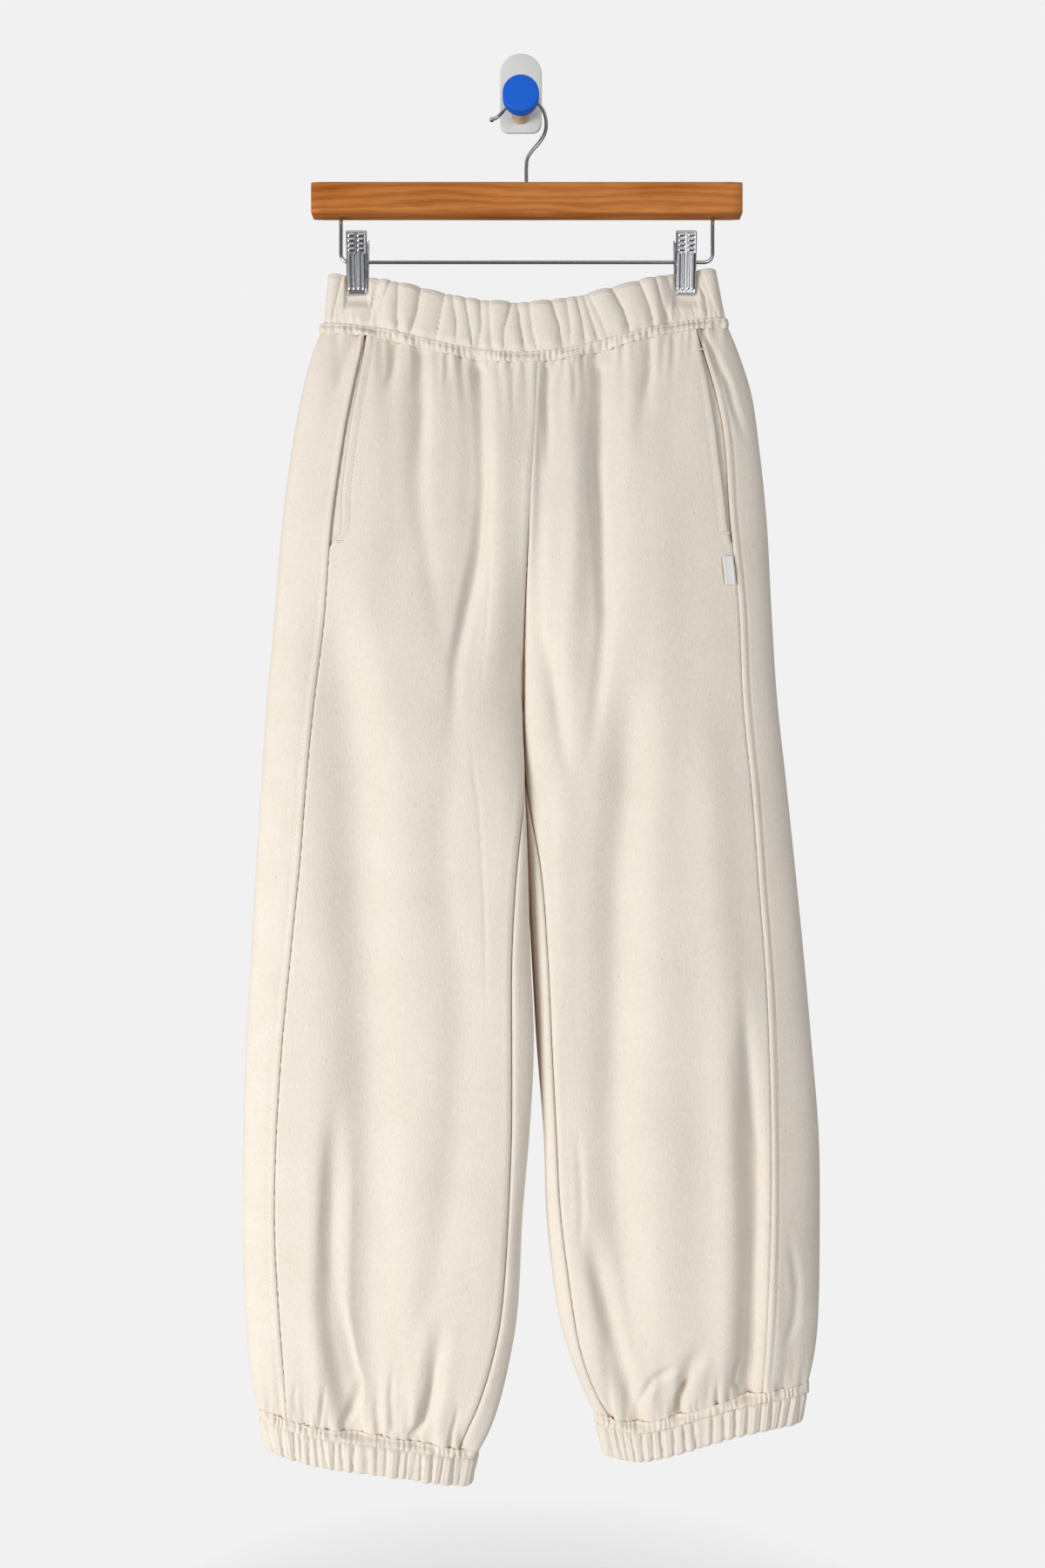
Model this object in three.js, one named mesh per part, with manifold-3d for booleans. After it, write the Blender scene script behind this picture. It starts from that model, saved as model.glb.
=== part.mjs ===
// Balloon pants held by the two clips of a wooden hanger that hangs on a wall hook.
// Millimetres. X runs to the right, Y runs back to the wall, Z is up.
// The origin is the middle of the wall plate's back face. A drop is a distance below it.
import * as THREE from 'three';
import { mergeVertices } from 'three/addons/utils/BufferGeometryUtils.js';
import Module from 'manifold-3d';

const wasm = await Module();
wasm.setup();

// Driving sizes of the garment
const WALL = 2;                  // cloth thickness
const SEAM_GAP = 0.3;            // space between two pieces at a seam
const WAIST_GAP = 0.9;           // the same where two curved edges with other corners meet
const CUFF_GAP = 1;
const LEG_GAP = 0.8;             // space between the two inner legs where they touch
const CROTCH_DROP = 482;
const SPLIT_START = 340;         // where the fronts begin to part into two legs
const BODY_POWER = 6;            // how square the hip section is
const LEG_POWER = 2.6;           // how square the leg section is
const TOP_LEVEL = 218;           // nominal drop of the waist seam
const FOOT_LEVEL = 1118;         // nominal drop of the cuff seams
const TOP_BLEND = 130;           // height over which the rows level out below the waist seam
const FOOT_BLEND = 170;          // height over which the rows tilt into the cuff seams
const POCKET_TOP = 226;
const POCKET_FOOT = 386;
const FACING_TUCK = 7;           // how far the pocket facing runs under its neighbours
const FACING_STEP = 0.7;         // space between the facing and the cloth over it
const BAND_DEPTH = 11;           // half depth of the waistband between the clips
const BAND_PINCH = 5.4;          // half depth of the waistband inside a clip
const PINCH_REACH = 17;
const BAND_MIDDLE_Y = -20;
const BAND_BULGE = 3.6;          // height of the gathers on the waistband
const CUFF_HEIGHT = 26.5;
const CUFF_DEPTH = 13;
const CUFF_MIDDLE_Y = -25;
const CUFF_BULGE = 2.2;
const CUFF_GATHERS = 40;
const LABEL_WIDTH = 8.8;
const LABEL_HEIGHT = 24;
const LABEL_DROP = 399;
const LABEL_WALL = 1;

// Driving sizes of the hanger and the wall hook
const PLATE_WIDTH = 35.5;
const PLATE_HEIGHT = 67;
const PLATE_THICK = 4;
const PLATE_CORNER = 8;
const PEG_DROP = 20;
const PEG_RADIUS = 7.25;
const PEG_END_Y = -36;
const KNOB_RADIUS = 15;
const KNOB_THICK = 11;
const KNOB_ROUND = 1.2;
const BAR_LENGTH = 359;
const BAR_HEIGHT = 26.5;
const BAR_DEPTH = 17.4;
const BAR_MIDDLE_X = 5;
const BAR_TOP_DROP = 85.1;
const HANGER_Y = -20;
const WIRE_RADIUS = 1.5;
const HOOK_TIP_RADIUS = 2;
const CLIP_WIRE_X = 155.5;       // from the bar's middle to each upright of the clip wire
const CLIP_WIRE_DROP = 149.5;
const CLIP_WIRE_BEND = 7;
const CLIP_WIDTH = 17.2;
const CLIP_HEIGHT = 52;
const CLIP_TOP_DROP = 127.7;
const CLIP_SHEET = 1.2;
const CLIP_SPREAD = 0.16;        // lean of each jaw away from the cloth, radians
const CLIP_BUMP = 0.8;
const CLIP_HOLE_GAP = 0.6;       // play of the wire in the jaws' ears
const CLIP_CENTRES = [-136.4, 137.3];
const TOUCH = 0.3;               // space between two solid pieces that touch

// Outlines of the two legs by drop: outer edge, side seam, inseam and inner edge, as X
const LEFT_LEG = [
  { drop: 196, outer: -162, seam: -127, inseam: 14.5, inner: 14.5 },
  { drop: 230, outer: -175, seam: -132.5, inseam: 14, inner: 14 },
  { drop: 262, outer: -183, seam: -138.5, inseam: 12.8, inner: 12.8 },
  { drop: 300, outer: -190, seam: -145.5, inseam: 11, inner: 11 },
  { drop: 370, outer: -199, seam: -155, inseam: 7, inner: 7 },
  { drop: 440, outer: -204.5, seam: -160.5, inseam: 3.7, inner: 3.7 },
  { drop: 515, outer: -211, seam: -169.5, inseam: 2, inner: 2 },
  { drop: 590, outer: -216, seam: -176, inseam: 0.5, inner: 3.2 },
  { drop: 660, outer: -220, seam: -181, inseam: -5, inner: 5.6 },
  { drop: 730, outer: -224, seam: -188.5, inseam: -8, inner: 8.4 },
  { drop: 800, outer: -228, seam: -195, inseam: -8, inner: 10.6 },
  { drop: 875, outer: -230, seam: -199.5, inseam: -8.4, inner: 7 },
  { drop: 945, outer: -231, seam: -201, inseam: -11.3, inner: 1.6 },
  { drop: 1020, outer: -229, seam: -197.5, inseam: -17, inner: -2.5 },
  { drop: 1060, outer: -226, seam: -195.5, inseam: -25, inner: -9 },
  { drop: 1095, outer: -221, seam: -194.5, inseam: -35, inner: -17 },
  { drop: 1120, outer: -213, seam: -193, inseam: -44, inner: -25 },
  { drop: 1145, outer: -206, seam: -190, inseam: -53, inner: -37 },
];
const RIGHT_LEG = [
  { drop: 196, outer: 169, seam: 144, inseam: 14.5, inner: 14.5 },
  { drop: 230, outer: 182, seam: 152, inseam: 14, inner: 14 },
  { drop: 262, outer: 191, seam: 160.5, inseam: 12.8, inner: 12.8 },
  { drop: 300, outer: 197, seam: 167.5, inseam: 11, inner: 11 },
  { drop: 370, outer: 205, seam: 172, inseam: 7, inner: 7 },
  { drop: 440, outer: 208.5, seam: 179, inseam: 3.7, inner: 3.7 },
  { drop: 515, outer: 213, seam: 182, inseam: 2, inner: 2 },
  { drop: 590, outer: 221, seam: 189, inseam: 6.5, inner: 3.2 },
  { drop: 660, outer: 228, seam: 194, inseam: 18, inner: 5.6 },
  { drop: 730, outer: 235, seam: 199.5, inseam: 23, inner: 8.6 },
  { drop: 800, outer: 241, seam: 202.5, inseam: 27, inner: 13 },
  { drop: 875, outer: 247, seam: 204, inseam: 30.5, inner: 18.8 },
  { drop: 945, outer: 248, seam: 203.5, inseam: 34, inner: 21 },
  { drop: 1020, outer: 247, seam: 201, inseam: 43, inner: 30 },
  { drop: 1060, outer: 244, seam: 200, inseam: 51, inner: 40 },
  { drop: 1095, outer: 237, seam: 199, inseam: 64, inner: 54 },
  { drop: 1120, outer: 230, seam: 198, inseam: 76, inner: 65 },
  { drop: 1145, outer: 224, seam: 197, inseam: 84, inner: 74 },
];

// Depth of the garment by drop: Y of its middle and half of its front-to-back size
const DEPTHS = [
  { drop: 196, middle: -20, half: 11 },
  { drop: 230, middle: -21, half: 15 },
  { drop: 262, middle: -22.5, half: 18 },
  { drop: 320, middle: -24.5, half: 21 },
  { drop: 440, middle: -26.5, half: 23.5 },
  { drop: 600, middle: -28.5, half: 25.5 },
  { drop: 800, middle: -30, half: 27 },
  { drop: 950, middle: -30.5, half: 27.5 },
  { drop: 1030, middle: -29.5, half: 26 },
  { drop: 1070, middle: -28, half: 22.5 },
  { drop: 1100, middle: -26, half: 16.5 },
  { drop: 1118, middle: -25, half: 13 },
];

// How far the pocket mouth stands open from the side seam, by drop
const LEFT_MOUTH = [
  { drop: 200, open: 0.2 },
  { drop: 228, open: 2.6 },
  { drop: 300, open: 4.5 },
  { drop: 347, open: 5.8 },
  { drop: 378, open: 8.6 },
  { drop: 386, open: 4 },
  { drop: 392, open: 0.15 },
];
const RIGHT_MOUTH = [
  { drop: 200, open: 0.2 },
  { drop: 236, open: 2.8 },
  { drop: 270, open: 5.6 },
  { drop: 310, open: 6.4 },
  { drop: 348, open: 3.8 },
  { drop: 380, open: 2.4 },
  { drop: 392, open: 0.15 },
];

// Cuff seams: drop of each by X
const LEFT_CUFF_SEAM = [
  { x: -216, drop: 1110 },
  { x: -168, drop: 1122 },
  { x: -120, drop: 1128 },
  { x: -34, drop: 1143 },
];
const RIGHT_CUFF_SEAM = [
  { x: 62, drop: 1113 },
  { x: 95, drop: 1118.5 },
  { x: 135, drop: 1109.5 },
  { x: 182, drop: 1096 },
  { x: 238, drop: 1088 },
];

// Main folds: a trough follows x0 x1 x2 from drop d0 over d1 to d2, on the front or the back
const FOLDS = [
  { side: 1, d0: 190, d1: 245, d2: 290, x0: -135, x1: -148, x2: -158, width: 9, depth: 3.4 },
  { side: 1, d0: 190, d1: 245, d2: 285, x0: -104, x1: -106, x2: -111, width: 9, depth: 2.6 },
  { side: 1, d0: 190, d1: 282, d2: 400, x0: -82, x1: -80, x2: -84, width: 12, depth: 2.8 },
  { side: 1, d0: 190, d1: 400, d2: 600, x0: -35, x1: -36, x2: -59, width: 17, depth: 4.6 },
  { side: 1, d0: 190, d1: 290, d2: 400, x0: 22, x1: 22, x2: 23, width: 11, depth: 2.4 },
  { side: 1, d0: 440, d1: 520, d2: 620, x0: 12, x1: 30, x2: 44, width: 14, depth: 3.4 },
  { side: 1, d0: 190, d1: 400, d2: 640, x0: 65, x1: 67, x2: 47, width: 20, depth: 6 },
  { side: 1, d0: 190, d1: 245, d2: 320, x0: 106, x1: 105, x2: 97, width: 9, depth: 3.2 },
  { side: 1, d0: 830, d1: 1000, d2: 1130, x0: -150, x1: -155, x2: -139, width: 13, depth: 4.6 },
  { side: 1, d0: 1010, d1: 1070, d2: 1145, x0: -63, x1: -71, x2: -88, width: 10, depth: 3.4 },
  { side: 1, d0: 740, d1: 930, d2: 1110, x0: 182, x1: 187, x2: 185, width: 15, depth: 6.5 },
  { side: 1, d0: 930, d1: 1040, d2: 1125, x0: 52, x1: 75, x2: 98, width: 14, depth: 4.2 },
  { side: 1, d0: 1040, d1: 1075, d2: 1112, x0: 146, x1: 135, x2: 129, width: 9, depth: 3.4 },
  { side: -1, d0: 190, d1: 260, d2: 330, x0: -118, x1: -122, x2: -130, width: 13, depth: 2.8 },
  { side: -1, d0: 190, d1: 380, d2: 590, x0: -58, x1: -62, x2: -80, width: 19, depth: 4.6 },
  { side: -1, d0: 190, d1: 300, d2: 420, x0: 40, x1: 42, x2: 36, width: 14, depth: 3.2 },
  { side: -1, d0: 190, d1: 360, d2: 560, x0: 98, x1: 101, x2: 86, width: 18, depth: 4.4 },
  { side: -1, d0: 850, d1: 1000, d2: 1130, x0: -120, x1: -124, x2: -116, width: 16, depth: 4.6 },
  { side: -1, d0: 780, d1: 960, d2: 1110, x0: 150, x1: 156, x2: 150, width: 18, depth: 5 },
];

// Creases between the gathers of the waistband's front, by X, with their share of the full bulge
const BAND_CREASES = [
  { x: -155, dip: 0.8 }, { x: -146, dip: 0.5 }, { x: -124, dip: 0.8 }, { x: -115, dip: 0.6 },
  { x: -103, dip: 0.9 }, { x: -87, dip: 1 }, { x: -67, dip: 1 }, { x: -54, dip: 0.6 },
  { x: -43, dip: 0.7 }, { x: -32, dip: 1 }, { x: -24, dip: 0.6 }, { x: -14, dip: 0.7 },
  { x: 0, dip: 0.9 }, { x: 12, dip: 0.8 }, { x: 31, dip: 0.8 }, { x: 41, dip: 0.6 },
  { x: 51, dip: 0.8 }, { x: 61, dip: 0.9 }, { x: 72, dip: 0.6 }, { x: 86, dip: 1 },
  { x: 106, dip: 1 }, { x: 117, dip: 0.9 }, { x: 129, dip: 0.5 }, { x: 145, dip: 0.6 },
  { x: 153, dip: 0.9 },
];

// Colours and finishes
const CLOTH = { color: 0xece0cc, roughness: 0.95, metalness: 0 };
const LABEL = { color: 0xf2f2f0, roughness: 0.8, metalness: 0 };
const BAR_WOOD = { color: 0xb9703a, roughness: 0.5, metalness: 0 };
const PEG_WOOD = { color: 0xd8b48e, roughness: 0.6, metalness: 0 };
const CHROME = { color: 0xc8cace, roughness: 0.2, metalness: 1 };
const PLATE_PLASTIC = { color: 0xd9d9d9, roughness: 0.5, metalness: 0 };
const KNOB_PAINT = { color: 0x2567d4, roughness: 0.4, metalness: 0 };

// Small helpers
const clamp01 = (t) => Math.min(1, Math.max(0, t));
const smooth = (t) => clamp01(t) ** 2 * (3 - 2 * clamp01(t));
const mix = (a, b, t) => a + (b - a) * t;

// Value of a table's column at a place along its key column, on a smooth curve through the rows
function at(rows, key, column, place) {
  const last = rows.length - 1;
  const spot = Math.min(rows[last][key], Math.max(rows[0][key], place));
  let i = 0;
  while (i < last - 1 && spot > rows[i + 1][key]) i += 1;
  const slope = (k) => {
    const a = rows[Math.max(0, k - 1)];
    const b = rows[Math.min(last, k + 1)];
    return (b[column] - a[column]) / (b[key] - a[key]);
  };
  const span = rows[i + 1][key] - rows[i][key];
  const t = (spot - rows[i][key]) / span;
  const bend = (slope(i) * (1 - t) - slope(i + 1) * t) * span * t * (1 - t);
  const ease = t * t * (3 - 2 * t);
  return mix(rows[i][column], rows[i + 1][column], ease) + bend;
}

// Seam lines across the garment, as a drop for each X
const arch = (x, span) => Math.cos((Math.PI * x) / span) ** 2;
const waistSeam = (x) => 204 + 28.3 * arch(x, 345) - 0.012 * x;
const bandTop = (x) => 157 + 28.3 * arch(x, 350) - 0.012 * x;

// The two legs, each with its own tables
const LEGS = [
  { name: 'left', rows: LEFT_LEG, mouth: LEFT_MOUTH, cuffSeam: LEFT_CUFF_SEAM, outward: -1 },
  { name: 'right', rows: RIGHT_LEG, mouth: RIGHT_MOUTH, cuffSeam: RIGHT_CUFF_SEAM, outward: 1 },
];

// Real drop of a point on nominal level v: rows bend to the waist seam and the cuff seam
function realDrop(leg, x, level) {
  const top = (waistSeam(x) - TOP_LEVEL) * (1 - smooth((level - TOP_LEVEL) / TOP_BLEND));
  const foot = at(leg.cuffSeam, 'x', 'drop', x) - FOOT_LEVEL;
  return level + top + foot * smooth((level - FOOT_LEVEL + FOOT_BLEND) / FOOT_BLEND);
}

// X of one of a leg's lines on a nominal level
function lineX(leg, column, level) {
  const guess = at(leg.rows, 'drop', column, level);
  return at(leg.rows, 'drop', column, realDrop(leg, guess, level));
}

// Section of a leg: angle 0 is the inner edge, PI the outer edge, and positive angles are in front
function section(leg, level) {
  const half = smooth((level - CROTCH_DROP) / 40) * LEG_GAP / 2;
  const outer = lineX(leg, 'outer', level);
  const inner = lineX(leg, 'inner', level) + leg.outward * Math.max(half, SEAM_GAP / 2);
  return { centre: (outer + inner) / 2, reach: (inner - outer) / 2 };
}
const power = (value, exponent) => Math.sign(value) * Math.abs(value) ** exponent;
const angleToX = (part, angle) => part.centre + part.reach * power(Math.cos(angle), 2 / LEG_POWER);
function xToAngle(part, x) {
  const share = Math.min(1, Math.max(-1, (x - part.centre) / part.reach));
  return Math.acos(power(share, LEG_POWER / 2));
}

// Depth of a fold's trough with a low ridge on each side of it
function foldDepth(x, drop, side) {
  let sum = 0;
  for (const fold of FOLDS) {
    if (fold.side !== side || drop <= fold.d0 || drop >= fold.d2) continue;
    const upper = drop < fold.d1;
    const t = upper ? (drop - fold.d0) / (fold.d1 - fold.d0) : (drop - fold.d1) / (fold.d2 - fold.d1);
    const path = upper ? mix(fold.x0, fold.x1, t) : mix(fold.x1, fold.x2, smooth(t));
    const off = (x - path) / fold.width;
    const longRun = fold.d2 - fold.d0;
    const fadeTop = fold.d0 < 230 ? 1 : smooth((drop - fold.d0) / (0.35 * longRun));
    const fadeFoot = fold.d2 > 1104 ? 1 : smooth((fold.d2 - drop) / (0.6 * longRun));
    sum += fold.depth * fadeTop * fadeFoot * (1 - 1.1 * off * off) * Math.exp(-off * off);
  }
  return sum;
}

// A point on the garment's outside
function skin(leg, angle, level, front) {
  const part = section(leg, level);
  const x = angleToX(part, angle);
  const drop = realDrop(leg, x, level);
  const split = smooth((level - SPLIT_START) / (CROTCH_DROP - SPLIT_START));
  const left = lineX(LEGS[0], 'outer', level);
  const right = lineX(LEGS[1], 'outer', level);
  const across = Math.min(1, Math.abs((2 * x - left - right) / (right - left)));
  const body = Math.sqrt(Math.max(0, 1 - across ** BODY_POWER));
  const round = mix(body, Math.abs(Math.sin(angle)), split);
  const depth = at(DEPTHS, 'drop', 'half', level);
  const calm = Math.min(1, round * 1.6);
  const bulge = depth * round - foldDepth(x, drop, front) * calm;
  return new THREE.Vector3(x, at(DEPTHS, 'drop', 'middle', level) - front * bulge, -drop);
}

// A point a given distance inside the skin, along the surface's own normal
function insideSkin(leg, angle, level, front, inset) {
  const point = skin(leg, angle, level, front);
  if (inset === 0) return point;
  const turn = 0.02;
  const rise = 2;
  const onFront = (a) => (Math.abs(a) < 1e-6 ? front : Math.sign(Math.sin(a)));
  const ahead = skin(leg, angle + turn, level, onFront(angle + turn));
  const behind = skin(leg, angle - turn, level, onFront(angle - turn));
  const split = level >= CROTCH_DROP;
  const across = new THREE.Vector3();
  if (!split && onFront(angle - turn) !== front) across.subVectors(ahead, point);
  else if (!split && onFront(angle + turn) !== front && Math.abs(angle) < 1) {
    across.subVectors(point, behind);
  }
  else across.subVectors(ahead, behind);
  const low = skin(leg, angle, Math.min(FOOT_LEVEL, level + rise), front);
  const high = skin(leg, angle, Math.max(TOP_LEVEL, level - rise), front);
  const down = new THREE.Vector3().subVectors(low, high);
  const normal = new THREE.Vector3().crossVectors(across, down).normalize().multiplyScalar(-leg.outward);
  return point.addScaledVector(normal, -inset);
}

// Closed wall through an outer and an inner grid of points; the columns may close into a ring
function wallMesh(outer, inner, ring) {
  const rows = outer.length;
  const columns = outer[0].length;
  const points = [...outer.flat(), ...inner.flat()];
  const shift = rows * columns;
  const faces = [];
  const quad = (a, b, c, d) => faces.push(a, b, c, a, c, d);
  const id = (i, j) => i * columns + (j % columns);
  const spans = ring ? columns : columns - 1;
  for (let i = 0; i < rows - 1; i += 1) {
    for (let j = 0; j < spans; j += 1) {
      quad(id(i, j), id(i + 1, j), id(i + 1, j + 1), id(i, j + 1));
      quad(shift + id(i, j), shift + id(i, j + 1), shift + id(i + 1, j + 1), shift + id(i + 1, j));
    }
    if (!ring) {
      quad(id(i, 0), shift + id(i, 0), shift + id(i + 1, 0), id(i + 1, 0));
      const e = columns - 1;
      quad(id(i, e), id(i + 1, e), shift + id(i + 1, e), shift + id(i, e));
    }
  }
  for (let j = 0; j < spans; j += 1) {
    const foot = rows - 1;
    quad(id(0, j), id(0, j + 1), shift + id(0, j + 1), shift + id(0, j));
    quad(id(foot, j), shift + id(foot, j), shift + id(foot, j + 1), id(foot, j + 1));
  }
  return solid(points, faces);
}

// Ring wall whose outside has several columns for each column of its plain inside
function gatheredRing(outer, inner, perColumn) {
  const columns = outer[0].length;
  const plain = inner[0].length;
  const points = [...outer.flat(), ...inner.flat()];
  const shift = outer.length * columns;
  const faces = [];
  const quad = (a, b, c, d) => faces.push(a, b, c, a, c, d);
  const out = (i, j) => i * columns + (j % columns);
  const inn = (i, j) => shift + i * plain + (j % plain);
  for (let i = 0; i < outer.length - 1; i += 1) {
    for (let j = 0; j < columns; j += 1) quad(out(i, j), out(i + 1, j), out(i + 1, j + 1), out(i, j + 1));
  }
  for (let i = 0; i < inner.length - 1; i += 1) {
    for (let j = 0; j < plain; j += 1) quad(inn(i, j), inn(i, j + 1), inn(i + 1, j + 1), inn(i + 1, j));
  }
  const foot = outer.length - 1;
  const innerFoot = inner.length - 1;
  const middle = Math.ceil(perColumn / 2);
  for (let j = 0; j < plain; j += 1) {
    for (let k = 0; k < perColumn; k += 1) {
      const c = j * perColumn + k;
      const near = k < middle ? j : j + 1;
      faces.push(out(0, c), out(0, c + 1), inn(0, near));
      faces.push(out(foot, c), inn(innerFoot, near), out(foot, c + 1));
    }
    const m = j * perColumn + middle;
    faces.push(out(0, m), inn(0, j + 1), inn(0, j));
    faces.push(out(foot, m), inn(innerFoot, j), inn(innerFoot, j + 1));
  }
  return solid(points, faces);
}

// Geometry from points and faces, turned so that its faces point out
function solid(points, faces) {
  let volume = 0;
  for (let i = 0; i < faces.length; i += 3) {
    const [a, b, c] = [points[faces[i]], points[faces[i + 1]], points[faces[i + 2]]];
    volume += a.dot(new THREE.Vector3().crossVectors(b, c)) / 6;
  }
  const index = [];
  for (let i = 0; i < faces.length; i += 3) {
    const swap = volume < 0 ? 1 : 0;
    index.push(faces[i], faces[i + 1 + swap], faces[i + 2 - swap]);
  }
  const geometry = new THREE.BufferGeometry().setFromPoints(points);
  geometry.setIndex(index);
  geometry.computeVertexNormals();
  return geometry;
}

// Panels: columns between two boundary angles on each level
const PANEL_LEVELS = [
  218, 226, 240, 262, 292, 330, 372, 386, 393, 430, 462, 482, 505, 550, 610, 680, 755, 830, 900,
  960, 1010, 1050, 1082, 1104, 1118,
];
const sideAngle = (leg, level, trim) => {
  const part = section(leg, level);
  return xToAngle(part, lineX(leg, 'seam', level) - leg.outward * trim);
};
function mouthOpen(leg, level) {
  const drop = realDrop(leg, lineX(leg, 'seam', level), level);
  return at(leg.mouth, 'drop', 'open', drop);
}
const frontSide = (leg, level) => sideAngle(leg, level, Math.max(SEAM_GAP / 2, mouthOpen(leg, level)));
const panelSide = (leg, level) => sideAngle(leg, level, -SEAM_GAP / 2);
const inseamAngle = (leg, level, trim) => {
  if (level < CROTCH_DROP) return 0;
  const part = section(leg, level);
  const seam = Math.max(0, (lineX(leg, 'inseam', level) - lineX(leg, 'inner', level)) * leg.outward);
  const angle = xToAngle(part, lineX(leg, 'inner', level) + leg.outward * Math.max(seam, LEG_GAP / 2));
  return Math.max(0.008, angle) + trim;
};

const FRONT_COLUMNS = 20;
const BACK_COLUMNS = 11;
const WRAP_COLUMNS = 2;
const SIDE_COLUMNS = 6;

// Angles of a panel's columns, spaced half by angle and half by width
function columnAngles(part, start, end, count) {
  const angles = [];
  const startX = angleToX(part, start);
  const endX = angleToX(part, end);
  for (let j = 0; j <= count; j += 1) {
    const even = mix(start, end, j / count);
    const wide = xToAngle(part, mix(startX, endX, j / count));
    angles.push(mix(even, wide * Math.sign(even || 1), 0.55));
  }
  return angles;
}

function frontPanel(leg) {
  const seamTrim = 0.006;
  const grid = (inset) => PANEL_LEVELS.map((level) => {
    const part = section(leg, level);
    const start = inseamAngle(leg, level, seamTrim);
    const angles = columnAngles(part, start, frontSide(leg, level), FRONT_COLUMNS);
    return angles.map((angle) => insideSkin(leg, angle, level, 1, inset));
  });
  return wallMesh(grid(0), grid(WALL), false);
}

function backPanel(leg) {
  const seamTrim = 0.006;
  const grid = (inset) => PANEL_LEVELS.map((level) => {
    const part = section(leg, level);
    const start = level < CROTCH_DROP ? 0 : inseamAngle(leg, level, -seamTrim);
    const wrap = level < CROTCH_DROP ? 0.12 : 0.5;
    const row = [];
    for (let j = 0; j < WRAP_COLUMNS; j += 1) {
      const angle = mix(start, -wrap, j / WRAP_COLUMNS);
      const front = level >= CROTCH_DROP && angle > 0 ? 1 : -1;
      row.push(insideSkin(leg, angle, level, front, inset));
    }
    const angles = columnAngles(part, wrap, panelSide(leg, level) - 0.01, BACK_COLUMNS);
    for (const angle of angles) row.push(insideSkin(leg, -angle, level, -1, inset));
    return row;
  });
  return wallMesh(grid(0), grid(WALL), false);
}

function sidePanel(leg) {
  const grid = (inset) => PANEL_LEVELS.map((level) => {
    const start = panelSide(leg, level);
    const row = [];
    for (let j = 0; j <= SIDE_COLUMNS; j += 1) {
      const angle = mix(start, 2 * Math.PI - start, j / SIDE_COLUMNS);
      const front = angle <= Math.PI ? 1 : -1;
      row.push(insideSkin(leg, angle, level, front, inset));
    }
    return row;
  });
  return wallMesh(grid(0), grid(WALL), false);
}

// Strip behind the open pocket mouth, tucked under the front and the side panel
function pocketFacing(leg) {
  const levels = PANEL_LEVELS.filter((level) => level >= POCKET_TOP && level <= POCKET_FOOT + 8);
  const depth = WALL + FACING_STEP;
  const grid = (inset) => levels.map((level) => {
    const near = sideAngle(leg, level, mouthOpen(leg, level) + FACING_TUCK);
    const far = sideAngle(leg, level, -FACING_TUCK);
    return [0, 0.25, 0.5, 0.75, 1].map((t) => insideSkin(leg, mix(near, far, t), level, 1, depth + inset));
  });
  return wallMesh(grid(0), grid(WALL), false);
}

// Waistband: its ends at half height, and its rounding there
const BAND_LEFT = -163;
const BAND_RIGHT = 167.5;
const BAND_CENTRE = (BAND_LEFT + BAND_RIGHT) / 2;
const BAND_REACH = (BAND_RIGHT - BAND_LEFT) / 2;
const bandRound = (share) => Math.sqrt(Math.max(0, 1 - Math.abs(share) ** BODY_POWER));

// Half depth of the waistband along X, pinched at the clips
function bandDepth(x) {
  let depth = BAND_DEPTH;
  for (const centre of CLIP_CENTRES) {
    const off = Math.max(0, Math.abs(x - centre) - CLIP_WIDTH / 2 - 1) / PINCH_REACH;
    depth = Math.min(depth, mix(BAND_PINCH, BAND_DEPTH, smooth(off)));
  }
  return depth;
}

// The gathers lie flat where a jaw presses on them
function bandCalm(x) {
  const offs = CLIP_CENTRES.map((centre) => Math.abs(x - centre) - CLIP_WIDTH / 2 - 1);
  return smooth(Math.min(...offs) / 5);
}

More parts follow.
